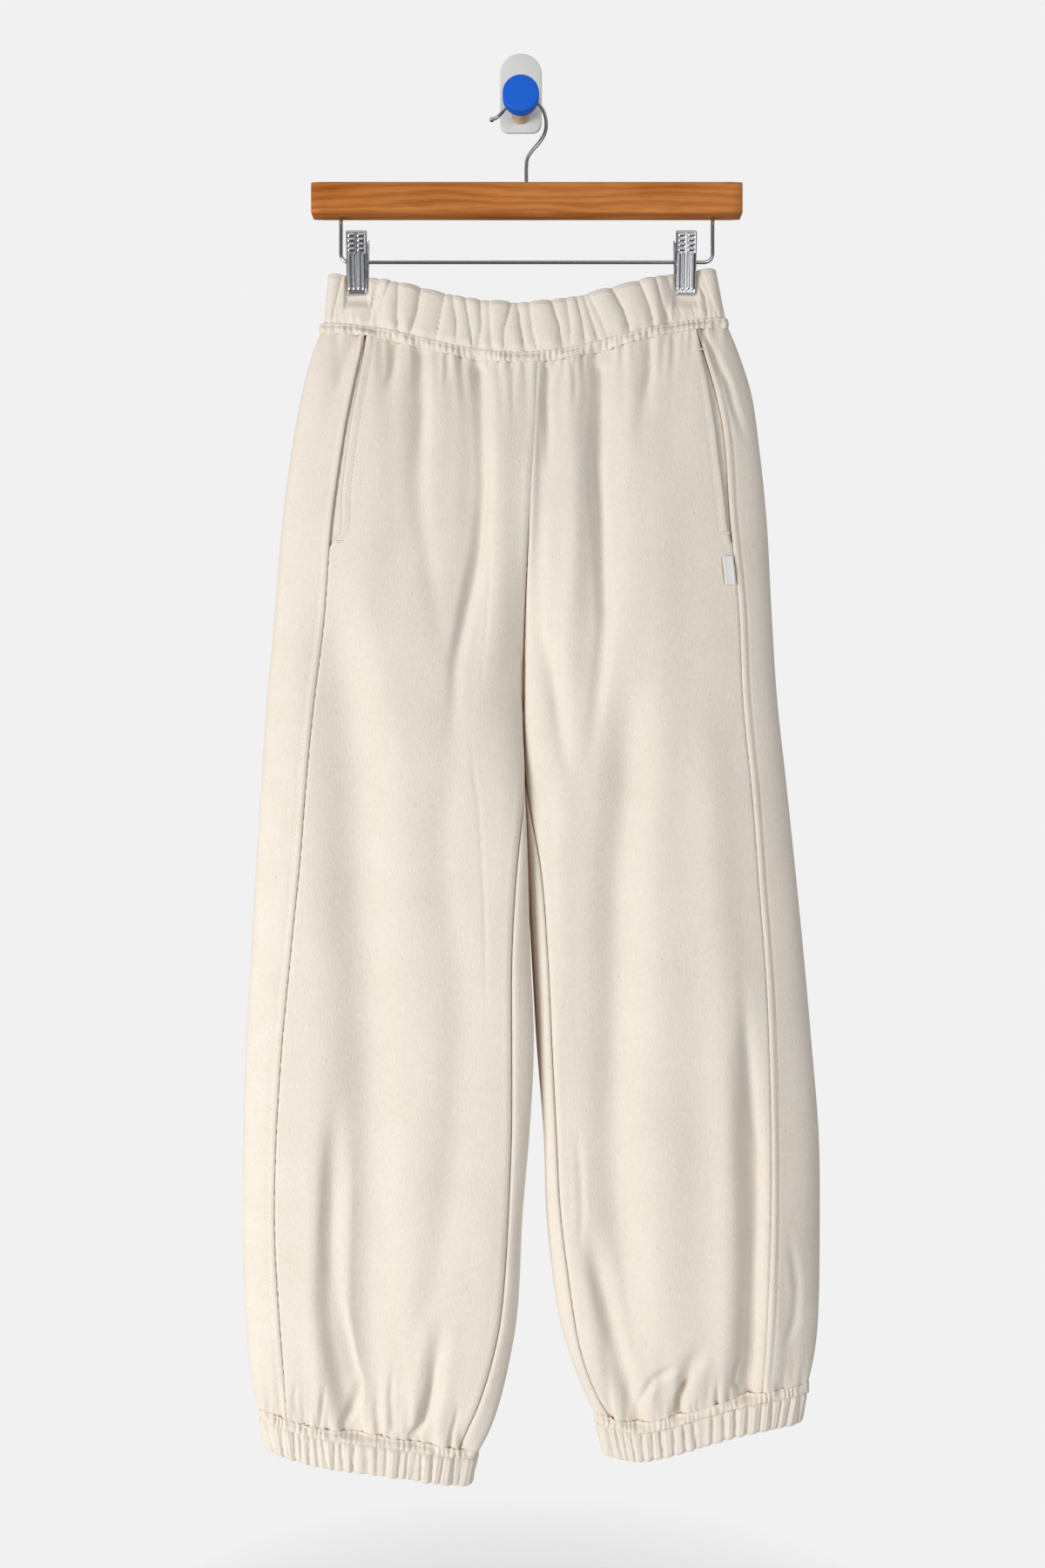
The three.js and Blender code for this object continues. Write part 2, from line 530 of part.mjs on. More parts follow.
function waistband() {
  const perColumn = 4;
  const edge = (t) => ({
    left: BAND_LEFT + mix(2, -2, t),
    right: BAND_RIGHT + mix(-4.5, 4.5, t),
  });
  const front = BAND_CREASES;
  const back = BAND_CREASES.map((crease, i) => ({ x: 8 - crease.x * 0.985, dip: i % 3 ? 0.9 : 0.6 }));
  const stops = [
    ...front.map((crease) => ({ ...crease, side: 1 })),
    ...back.map((crease) => ({ ...crease, side: -1 })),
  ];
  const toAngle = (x, side) => {
    const share = Math.min(1, Math.max(-1, (x - BAND_CENTRE) / BAND_REACH));
    return side * Math.acos(-share);
  };
  const columns = [];
  stops.forEach((stop, i) => {
    const next = stops[(i + 1) % stops.length];
    const start = toAngle(stop.x, stop.side);
    let end = toAngle(next.x, next.side);
    if (end < start) end += 2 * Math.PI;
    for (let k = 0; k < perColumn; k += 1) {
      const t = k / perColumn;
      const hump = Math.sin(Math.PI * t) ** 0.7;
      columns.push({ angle: mix(start, end, t), rise: mix(1 - mix(stop.dip, next.dip, t), 1, hump) });
    }
  });
  const band = (column, t, raised, inset) => {
    const { left, right } = edge(t);
    const c = -Math.cos(column.angle);
    const s = Math.sin(column.angle);
    const x = mix(left, right, (1 + c) / 2);
    const thick = bandRound(c);
    const side = Math.sign(s) || 1;
    const rise = raised ? BAND_BULGE * column.rise * bandCalm(x) * Math.min(1, thick * 1.5) : 0;
    const depth = (bandDepth(x) - inset) * thick + rise;
    const insetX = x - c * inset;
    const top = bandTop(x) + (raised ? 1.2 * (1 - column.rise) : 0);
    const drop = mix(top, waistSeam(x) - WAIST_GAP, t);
    return new THREE.Vector3(insetX, BAND_MIDDLE_Y - side * depth, -drop);
  };
  const levels = [0, 0.07, 0.35, 0.72, 1];
  const soften = [0.25, 0.75, 1, 1, 0.55];
  const outer = levels.map((t, i) => columns.map((column) => {
    const calm = { angle: column.angle, rise: column.rise * soften[i] };
    return band(calm, t, true, 0);
  }));
  const plain = columns.filter((column, i) => i % perColumn === 0);
  const inner = [0, 1].map((t) => plain.map((column) => band(column, t, false, WALL)));
  return gatheredRing(outer, inner, perColumn);
}

// Ankle cuff: gathered ring under the leg's foot
function cuff(leg) {
  const perColumn = 3;
  const outerTop = lineX(leg, 'outer', FOOT_LEVEL);
  const innerTop = lineX(leg, 'inner', FOOT_LEVEL) + leg.outward * LEG_GAP;
  const draw = 5.5;
  const columns = [];
  const widths = [1, 0.8, 1.15, 0.95, 1.1, 0.85, 1.2, 0.95];
  const total = widths.reduce((sum, width) => sum + width, 0) * (CUFF_GATHERS / widths.length);
  let run = 0;
  for (let i = 0; i < CUFF_GATHERS; i += 1) {
    const width = widths[i % widths.length] / total;
    for (let k = 0; k < perColumn; k += 1) {
      const hump = Math.sin((Math.PI * k) / perColumn) ** 0.7;
      columns.push({ share: run + (width * k) / perColumn, rise: hump });
    }
    run += width;
  }
  const ring = (column, t, raised, inset) => {
    const outer = outerTop - leg.outward * draw * t;
    const inner = innerTop + leg.outward * draw * t;
    const turn = 2 * Math.PI * column.share;
    const angle = turn - 0.28 * Math.sin(2 * turn);
    const c = Math.cos(angle);
    const s = Math.sin(angle);
    const centre = (outer + inner) / 2;
    const reach = Math.abs(outer - inner) / 2 - inset;
    const x = centre + reach * power(c, 2 / LEG_POWER);
    const rise = raised ? CUFF_BULGE * column.rise : 0;
    const nearX = x + Math.sign(c) * rise * Math.abs(c) ** 8;
    const depth = (CUFF_DEPTH - inset + rise) * s;
    const drop = at(leg.cuffSeam, 'x', 'drop', x) + CUFF_GAP + t * CUFF_HEIGHT;
    return new THREE.Vector3(nearX, CUFF_MIDDLE_Y - depth, -drop);
  };
  const levels = [0, 0.25, 0.85, 1];
  const soften = [0.3, 1, 1, 0.5];
  const outer = levels.map((t, i) => columns.map((column) => {
    const calm = { share: column.share, rise: column.rise * soften[i] };
    return ring(calm, t, true, 0);
  }));
  const plain = columns.filter((column, i) => i % perColumn === 0);
  const inner = [0, 1].map((t) => plain.map((column) => ring(column, t, false, WALL)));
  return gatheredRing(outer, inner, perColumn);
}

// Bare label that stands on the right side seam, moved out from the side panel's points
function sideLabel(leg) {
  const steps = [0, 0.33, 0.67, 1];
  const lift = -SEAM_GAP;
  const grid = (inset) => steps.map((t) => {
    const level = LABEL_DROP + t * LABEL_HEIGHT;
    const part = section(leg, level);
    const startX = lineX(leg, 'seam', level) - LABEL_WIDTH + 0.5;
    return [0, 0.5, 1].map((u) => {
      const angle = xToAngle(part, startX + u * LABEL_WIDTH);
      return insideSkin(leg, angle, level, 1, lift - LABEL_WALL + inset);
    });
  });
  return wallMesh(grid(0), grid(LABEL_WALL), false);
}

// Round wire along a path of points
function wire(points, radius, steps, tension) {
  const path = new THREE.CatmullRomCurve3(points, false, 'catmullrom', tension);
  const ring = new THREE.Shape();
  const sides = 8;
  for (let i = 0; i < sides; i += 1) {
    const angle = (2 * Math.PI * (i + 0.5)) / sides;
    const spot = [radius * Math.cos(angle), radius * Math.sin(angle)];
    if (i === 0) ring.moveTo(...spot);
    else ring.lineTo(...spot);
  }
  ring.closePath();
  return new THREE.ExtrudeGeometry(ring, { steps, bevelEnabled: false, extrudePath: path });
}

// Joining and cutting of closed geometries
function toManifold(geometry) {
  const bare = geometry.clone();
  bare.deleteAttribute('normal');
  bare.deleteAttribute('uv');
  const merged = mergeVertices(bare, 1e-4);
  const count = merged.attributes.position.count;
  const index = merged.index ? merged.index.array : Uint32Array.from({ length: count }, (_, i) => i);
  return new wasm.Manifold(new wasm.Mesh({
    numProp: 3,
    vertProperties: new Float32Array(merged.attributes.position.array),
    triVerts: new Uint32Array(index),
  }));
}
function fromManifold(body) {
  const mesh = body.getMesh();
  const geometry = new THREE.BufferGeometry();
  geometry.setAttribute('position', new THREE.BufferAttribute(new Float32Array(mesh.vertProperties), 3));
  geometry.setIndex(new THREE.BufferAttribute(new Uint32Array(mesh.triVerts), 1));
  geometry.computeVertexNormals();
  return geometry;
}
const box = (sx, sy, sz, x, y, z) => new THREE.BoxGeometry(sx, sy, sz).translate(x, y, z);

// Clip jaw: pressed plate with bumps and ribs, ears at the wire, leaning away from the cloth
function clipJaw(centreX, front) {
  const half = CLIP_HEIGHT / 2;
  const plate = new THREE.Shape();
  const w = CLIP_WIDTH / 2;
  const corner = 1.5;
  plate.moveTo(-w + corner, -half);
  plate.lineTo(w - corner, -half);
  plate.lineTo(w, -half + corner);
  plate.lineTo(w, half - corner);
  plate.lineTo(w - corner, half);
  plate.lineTo(-w + corner, half);
  plate.lineTo(-w, half - corner);
  plate.lineTo(-w, -half + corner);
  plate.closePath();
  // The plate lies in X and Z with its outer face at y = 0
  const sheet = new THREE.ExtrudeGeometry(plate, { depth: CLIP_SHEET, bevelEnabled: false });
  sheet.rotateX(Math.PI / 2).translate(0, CLIP_SHEET, 0);
  let body = toManifold(sheet);
  const pieces = [];
  const bumpRows = [3.6, 7.5, 11.4, 15.2];
  const ribX = [-5.6, -1.9, 1.9, 5.6];
  const ribTop = 18.2;
  const ribFoot = 46.6;
  for (const down of bumpRows) {
    for (const x of [-3.8, 3.8]) pieces.push(box(5.2, 1.4, 2.1, x, 0.7 - CLIP_BUMP, half - down));
  }
  for (const x of ribX) {
    pieces.push(box(1.9, 1.4, ribFoot - ribTop, x, 0.7 - CLIP_BUMP, half - (ribTop + ribFoot) / 2));
  }
  const earReach = front ? 9.4 : 8.4;
  const earX = front ? w - 0.5 : w - 2;
  const earDown = CLIP_WIRE_DROP - CLIP_TOP_DROP;
  for (const side of [-1, 1]) {
    pieces.push(box(1, earReach, 13, side * earX, earReach / 2 + 0.6, half - earDown));
    if (front) pieces.push(box(1, 3, 26, side * (w - 0.5), 1.8, half - 15));
  }
  for (const piece of pieces) body = body.add(toManifold(piece));
  const geometry = fromManifold(body);
  const sign = front ? 1 : -1;
  geometry.rotateX(CLIP_SPREAD);
  // The foot of the jaw rests on the pinched cloth, which is thickest on the side near the middle
  const nearX = centreX - Math.sign(centreX) * w;
  const cloth = BAND_PINCH * bandRound((nearX - BAND_CENTRE) / BAND_REACH);
  const lean = half * Math.sin(CLIP_SPREAD) + CLIP_SHEET * Math.cos(CLIP_SPREAD);
  geometry.translate(0, -cloth - TOUCH - lean, 0);
  if (sign < 0) geometry.rotateZ(Math.PI);
  geometry.translate(centreX, HANGER_Y, -CLIP_TOP_DROP - half);
  const holeRadius = WIRE_RADIUS + CLIP_HOLE_GAP;
  const hole = new THREE.CylinderGeometry(holeRadius, holeRadius, 2 * CLIP_WIDTH, 12);
  hole.rotateZ(Math.PI / 2).translate(centreX, HANGER_Y, -CLIP_WIRE_DROP);
  return fromManifold(toManifold(geometry).subtract(toManifold(hole)));
}

// Wall hook
function wallPlate() {
  const w = PLATE_WIDTH / 2;
  const low = -PLATE_HEIGHT / 2;
  const top = PLATE_HEIGHT / 2 - w;
  const shape = new THREE.Shape();
  shape.moveTo(-w + PLATE_CORNER, low);
  shape.lineTo(w - PLATE_CORNER, low);
  shape.absarc(w - PLATE_CORNER, low + PLATE_CORNER, PLATE_CORNER, -Math.PI / 2, 0, false);
  shape.lineTo(w, top);
  shape.absarc(0, top, w, 0, Math.PI, false);
  shape.lineTo(-w, low + PLATE_CORNER);
  shape.absarc(-w + PLATE_CORNER, low + PLATE_CORNER, PLATE_CORNER, Math.PI, 1.5 * Math.PI, false);
  const geometry = new THREE.ExtrudeGeometry(shape, {
    depth: PLATE_THICK,
    bevelEnabled: false,
    curveSegments: 7,
  });
  return geometry.rotateX(Math.PI / 2);
}

function wallPeg() {
  const length = -PEG_END_Y - PLATE_THICK - TOUCH;
  const peg = new THREE.CylinderGeometry(PEG_RADIUS, PEG_RADIUS, length, 24);
  return peg.translate(0, PEG_END_Y + length / 2, -PEG_DROP);
}

function wallKnob() {
  const r = KNOB_RADIUS;
  const e = KNOB_ROUND;
  const profile = [
    [0, 0], [r - e, 0], [r - e / 3, e / 3], [r, e], [r, KNOB_THICK - e],
    [r - e / 3, KNOB_THICK - e / 3], [r - e, KNOB_THICK], [0, KNOB_THICK],
  ];
  const knob = new THREE.LatheGeometry(profile.map((p) => new THREE.Vector2(...p)), 24);
  return knob.translate(0, PEG_END_Y - TOUCH - KNOB_THICK, -PEG_DROP);
}

// Hanger
function hangerBar() {
  const round = 2;
  const w = BAR_DEPTH / 2 - round;
  const h = BAR_HEIGHT / 2 - round;
  const outline = new THREE.Shape();
  outline.absarc(w, h, round, 0, Math.PI / 2, false);
  outline.absarc(-w, h, round, Math.PI / 2, Math.PI, false);
  outline.absarc(-w, -h, round, Math.PI, 1.5 * Math.PI, false);
  outline.absarc(w, -h, round, 1.5 * Math.PI, 2 * Math.PI, false);
  const options = { depth: BAR_LENGTH, bevelEnabled: false, curveSegments: 3 };
  const bar = new THREE.ExtrudeGeometry(outline, options);
  bar.translate(0, 0, -BAR_LENGTH / 2).rotateY(Math.PI / 2).rotateX(Math.PI / 2);
  return bar.translate(BAR_MIDDLE_X, HANGER_Y, -BAR_TOP_DROP - BAR_HEIGHT / 2);
}

function hangerHook() {
  const spots = [
    [4.7, -BAR_TOP_DROP + TOUCH], [4.6, -70], [5.4, -62.7], [9.4, -56.1], [15.2, -49.5], [20, -41.5],
    [21.2, -32.8], [19.3, -23.6], [14, -16], [7.2, -12], [0, -10.95], [-6.6, -12.7],
    [-10.8, -17.4], [-13.4, -21.6], [-17, -25.4], [-20, -28.2], [-24, -30],
  ];
  const points = spots.map(([x, z]) => new THREE.Vector3(x, HANGER_Y, z));
  const bent = toManifold(wire(points, WIRE_RADIUS, 28, 0.5));
  const tip = new THREE.SphereGeometry(HOOK_TIP_RADIUS, 8, 6).translate(-24.6, HANGER_Y, -30.2);
  return fromManifold(bent.add(toManifold(tip)));
}

function clipWire() {
  const top = -BAR_TOP_DROP - BAR_HEIGHT - TOUCH;
  const low = -CLIP_WIRE_DROP;
  const points = [];
  for (const side of [-1, 1]) {
    const leg = [new THREE.Vector3(BAR_MIDDLE_X + side * CLIP_WIRE_X, HANGER_Y, top)];
    for (let i = 0; i <= 4; i += 1) {
      const angle = (Math.PI / 2) * (i / 4);
      const reach = CLIP_WIRE_X - CLIP_WIRE_BEND + CLIP_WIRE_BEND * Math.cos(angle);
      const z = low + CLIP_WIRE_BEND * (1 - Math.sin(angle));
      leg.push(new THREE.Vector3(BAR_MIDDLE_X + side * reach, HANGER_Y, z));
    }
    points.push(...(side < 0 ? leg : leg.reverse()));
  }
  return sweep(points, WIRE_RADIUS);
}

// Tube through points in one upright plane, with a ring at every point
function sweep(points, radius) {
  const sides = 8;
  const rings = points.map((point, i) => {
    const before = points[Math.max(0, i - 1)];
    const after = points[Math.min(points.length - 1, i + 1)];
    const along = new THREE.Vector3().subVectors(after, before).normalize();
    const across = new THREE.Vector3(along.z, 0, -along.x);
    const ring = [];
    for (let k = 0; k < sides; k += 1) {
      const angle = (2 * Math.PI * (k + 0.5)) / sides;
      const spot = point.clone().addScaledVector(across, radius * Math.cos(angle));
      ring.push(spot.add(new THREE.Vector3(0, radius * Math.sin(angle), 0)));
    }
    return ring;
  });
  const faces = [];
  const id = (i, k) => i * sides + (k % sides);
  for (let i = 0; i < rings.length - 1; i += 1) {
    for (let k = 0; k < sides; k += 1) {
      faces.push(id(i, k), id(i + 1, k), id(i + 1, k + 1), id(i, k), id(i + 1, k + 1), id(i, k + 1));
    }
  }
  for (let k = 1; k < sides - 1; k += 1) {
    const last = rings.length - 1;
    faces.push(id(0, 0), id(0, k), id(0, k + 1), id(last, 0), id(last, k + 1), id(last, k));
  }
  return solid(rings.flat(), faces);
}

// The whole part
const group = new THREE.Group();
const place = (name, geometry, look) => {
  const mesh = new THREE.Mesh(geometry, new THREE.MeshStandardMaterial(look));
  mesh.name = name;
  group.add(mesh);
};

place('waistband', waistband(), CLOTH);
for (const leg of LEGS) {
  place(`front_panel_${leg.name}`, frontPanel(leg), CLOTH);
  place(`side_panel_${leg.name}`, sidePanel(leg), CLOTH);
  place(`back_panel_${leg.name}`, backPanel(leg), CLOTH);
  place(`pocket_facing_${leg.name}`, pocketFacing(leg), CLOTH);
  place(`cuff_${leg.name}`, cuff(leg), CLOTH);
}
place('side_label', sideLabel(LEGS[1]), LABEL);
place('hanger_bar', hangerBar(), BAR_WOOD);
place('hanger_hook', hangerHook(), CHROME);
place('clip_wire', clipWire(), CHROME);
for (const [i, name] of ['left', 'right'].entries()) {
  place(`clip_${name}_front`, clipJaw(CLIP_CENTRES[i], true), CHROME);
  place(`clip_${name}_back`, clipJaw(CLIP_CENTRES[i], false), CHROME);
}
place('wall_plate', wallPlate(), PLATE_PLASTIC);
place('wall_peg', wallPeg(), PEG_WOOD);
place('wall_knob', wallKnob(), KNOB_PAINT);

export default group;
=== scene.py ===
import math

import bmesh
import bpy
import numpy as np
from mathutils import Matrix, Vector


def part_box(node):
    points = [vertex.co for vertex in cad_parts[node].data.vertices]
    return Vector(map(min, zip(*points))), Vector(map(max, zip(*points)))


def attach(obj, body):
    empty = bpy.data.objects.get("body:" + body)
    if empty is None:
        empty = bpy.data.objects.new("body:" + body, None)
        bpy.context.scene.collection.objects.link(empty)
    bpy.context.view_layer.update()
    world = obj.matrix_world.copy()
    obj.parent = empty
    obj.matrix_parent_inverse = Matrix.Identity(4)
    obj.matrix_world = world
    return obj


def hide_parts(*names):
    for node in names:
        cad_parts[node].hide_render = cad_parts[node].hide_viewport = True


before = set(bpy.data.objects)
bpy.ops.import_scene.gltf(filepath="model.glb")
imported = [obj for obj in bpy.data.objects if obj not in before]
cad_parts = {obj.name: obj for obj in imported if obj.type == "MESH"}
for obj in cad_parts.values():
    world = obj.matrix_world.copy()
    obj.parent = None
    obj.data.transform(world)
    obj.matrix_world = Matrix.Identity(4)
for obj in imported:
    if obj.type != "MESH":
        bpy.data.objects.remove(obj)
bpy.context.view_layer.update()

# All garment sizes below are millimetres, as in the part's source. Meshes are written in metres.
MM = 0.001
WAIST_LEVEL = 218
FOOT_LEVEL = 1118
CROTCH_DROP = 482
SPLIT_START = 340
BODY_POWER = 6
LEG_POWER = 2.6
# How much fuller the front is beside a leg's inner edge
LEG_FULLNESS = {"left": 0.65, "right": 0}
TOP_BLEND = 130
FOOT_BLEND = 170
LEG_GAP = 0.8
CLOTH = 1.6
BAND_LEFT = -163
BAND_RIGHT = 167.5
BAND_DEPTH = 11
BAND_PINCH = 5.4
BAND_Y = -20
BAND_BULGE = 4.6
PINCH_REACH = 17
CUFF_DEPTH = 13
CUFF_Y = -25
CUFF_HEIGHT = 26.5
CLIP_WIDTH = 17.2
CLIP_HEIGHT = 52
CLIP_TOP = -127.7
CLIP_CENTRES = (-136.4, 137.3)
CLIP_LEAN = 0.16
HANGER_Y = -20
WIRE_RADIUS = 1.5
WIRE_Z = -149.5
# Pocket mouth, facing and label by drop; the label's width and its reach from the side seam
MOUTH_TOP = 228
MOUTH_FOOT = 386
FACING_TOP = 224
FACING_FOOT = 395
LABEL_TOP = 399
LABEL_FOOT = 423
LABEL_WIDTH = 8.8
LABEL_REACH = 10.4
# Wall hook: X and Z of its axis, then radius, back and front of peg and knob
HOOK_AXIS = (0, -20)
PEG = (7.25, -4.3, -36)
KNOB = (15, -36.3, -47.3)
# The photo's camera, in metres, and its lens
CAMERA_PLACE = (0.0014, -1.25, -0.586)
CAMERA_LENS = 33.75
FLOOR_LEVEL = -1430
# How far rows of stitches lie from a panel's edge, how deep the edges dip, and the grids' row step
MOUTH_STITCH = 6.2
FOLD_STITCH = 6.1
SEAM_DIP = 0.75
TUCK_DIP = 1.75
FOLD_DIP = 0.95
ROW_STEP = 3.6


def table(names, rows):
    """A table with named columns: name to its column of numbers."""
    return dict(zip(names.split(), np.array(rows, float).T))


# Outlines of the legs by drop: outer edge, side seam, inseam and inner edge, as X
LEFT_ROWS = table("drop outer seam inseam inner", [
    (196, -162, -127, 14.5, 14.5), (230, -175, -132.5, 14, 14), (262, -183, -138.5, 12.8, 12.8),
    (300, -190, -145.5, 11, 11), (370, -199, -155, 7, 7), (440, -204.5, -160.5, 3.7, 3.7),
    (515, -211, -169.5, 2, 2), (590, -216, -176, 0.5, 3.2), (660, -220, -181, -5, 5.6),
    (730, -224, -188.5, -8, 8.4), (800, -228, -195, -8, 10.6), (875, -230, -199.5, -8.4, 7),
    (945, -231, -201, -11.3, 1.6), (1020, -229, -197.5, -17, -2.5), (1060, -226, -195.5, -25, -9),
    (1095, -221, -194.5, -35, -17), (1120, -213, -193, -44, -25), (1145, -206, -190, -53, -37),
])
RIGHT_ROWS = table("drop outer seam inseam inner", [
    (196, 170, 144, 14.5, 14.5), (230, 183.3, 152, 14, 14), (262, 192.8, 160.5, 12.8, 12.8),
    (300, 198, 167.5, 11, 11), (370, 205, 172, 7, 7), (440, 208.5, 179, 3.7, 3.7),
    (515, 213, 182, 2, 2), (590, 221, 189, 6.5, 3.2), (660, 228, 194, 18, 5.6),
    (730, 235, 199.5, 23, 8.6), (800, 241, 202.5, 27, 13), (875, 247, 204, 30.5, 18.8),
    (945, 248, 203.5, 34, 21), (1020, 247, 201, 43, 30), (1060, 244, 200, 51, 40),
    (1095, 237, 199, 64, 54), (1120, 230, 198, 76, 65), (1145, 224, 197, 84, 74),
])
DEPTHS = table("drop middle half", [
    (196, -20, 11), (230, -21, 15), (262, -22.5, 18), (320, -24.5, 21), (440, -26.5, 23.5),
    (600, -28.5, 25.5), (800, -30, 27), (950, -30.5, 27.5), (1030, -29.5, 26), (1070, -28, 22.5),
    (1100, -26, 16.5), (1118, -25, 13),
])
LEFT_MOUTH = table("drop open", [
    (200, 0.2), (228, 2.6), (300, 4.5), (347, 5.8), (378, 8.6), (386, 4), (392, 0.15),
])
RIGHT_MOUTH = table("drop open", [
    (200, 0.2), (236, 2.8), (270, 5.6), (310, 6.4), (348, 3.8), (380, 2.4), (392, 0.15),
])
LEFT_CUFF = table("x drop", [(-216, 1110), (-168, 1122), (-120, 1128), (-34, 1143)])
RIGHT_CUFF = table("x drop", [(62, 1113), (95, 1118.5), (135, 1109.5), (182, 1096), (238, 1088)])

# Main folds, as in the solids: a trough follows x0 x1 x2 from drop d0 over d1 to d2
FOLDS = table("side d0 d1 d2 x0 x1 x2 width depth", [
    (1, 190, 245, 290, -135, -148, -158, 9, 3.4), (1, 190, 245, 285, -104, -106, -111, 9, 2.6),
    (1, 190, 282, 400, -82, -80, -84, 12, 2.8), (1, 190, 400, 600, -35, -36, -59, 17, 4.6),
    (1, 190, 290, 400, 22, 22, 23, 11, 2.4), (1, 440, 520, 620, 12, 30, 44, 14, 3.4),
    (1, 190, 400, 640, 65, 67, 47, 20, 6), (1, 190, 245, 320, 106, 105, 97, 9, 3.2),
    (1, 830, 1000, 1130, -150, -155, -139, 13, 4.6), (1, 1010, 1070, 1145, -63, -71, -88, 10, 3.4),
    (1, 740, 930, 1110, 182, 187, 185, 15, 6.5), (1, 930, 1040, 1125, 52, 75, 98, 14, 4.2),
    (1, 1040, 1075, 1112, 146, 135, 129, 9, 3.4), (-1, 190, 260, 330, -118, -122, -130, 13, 2.8),
    (-1, 190, 380, 590, -58, -62, -80, 19, 4.6), (-1, 190, 300, 420, 40, 42, 36, 14, 3.2),
    (-1, 190, 360, 560, 98, 101, 86, 18, 4.4), (-1, 850, 1000, 1130, -120, -124, -116, 16, 4.6),
    (-1, 780, 960, 1110, 150, 156, 150, 18, 5),
])

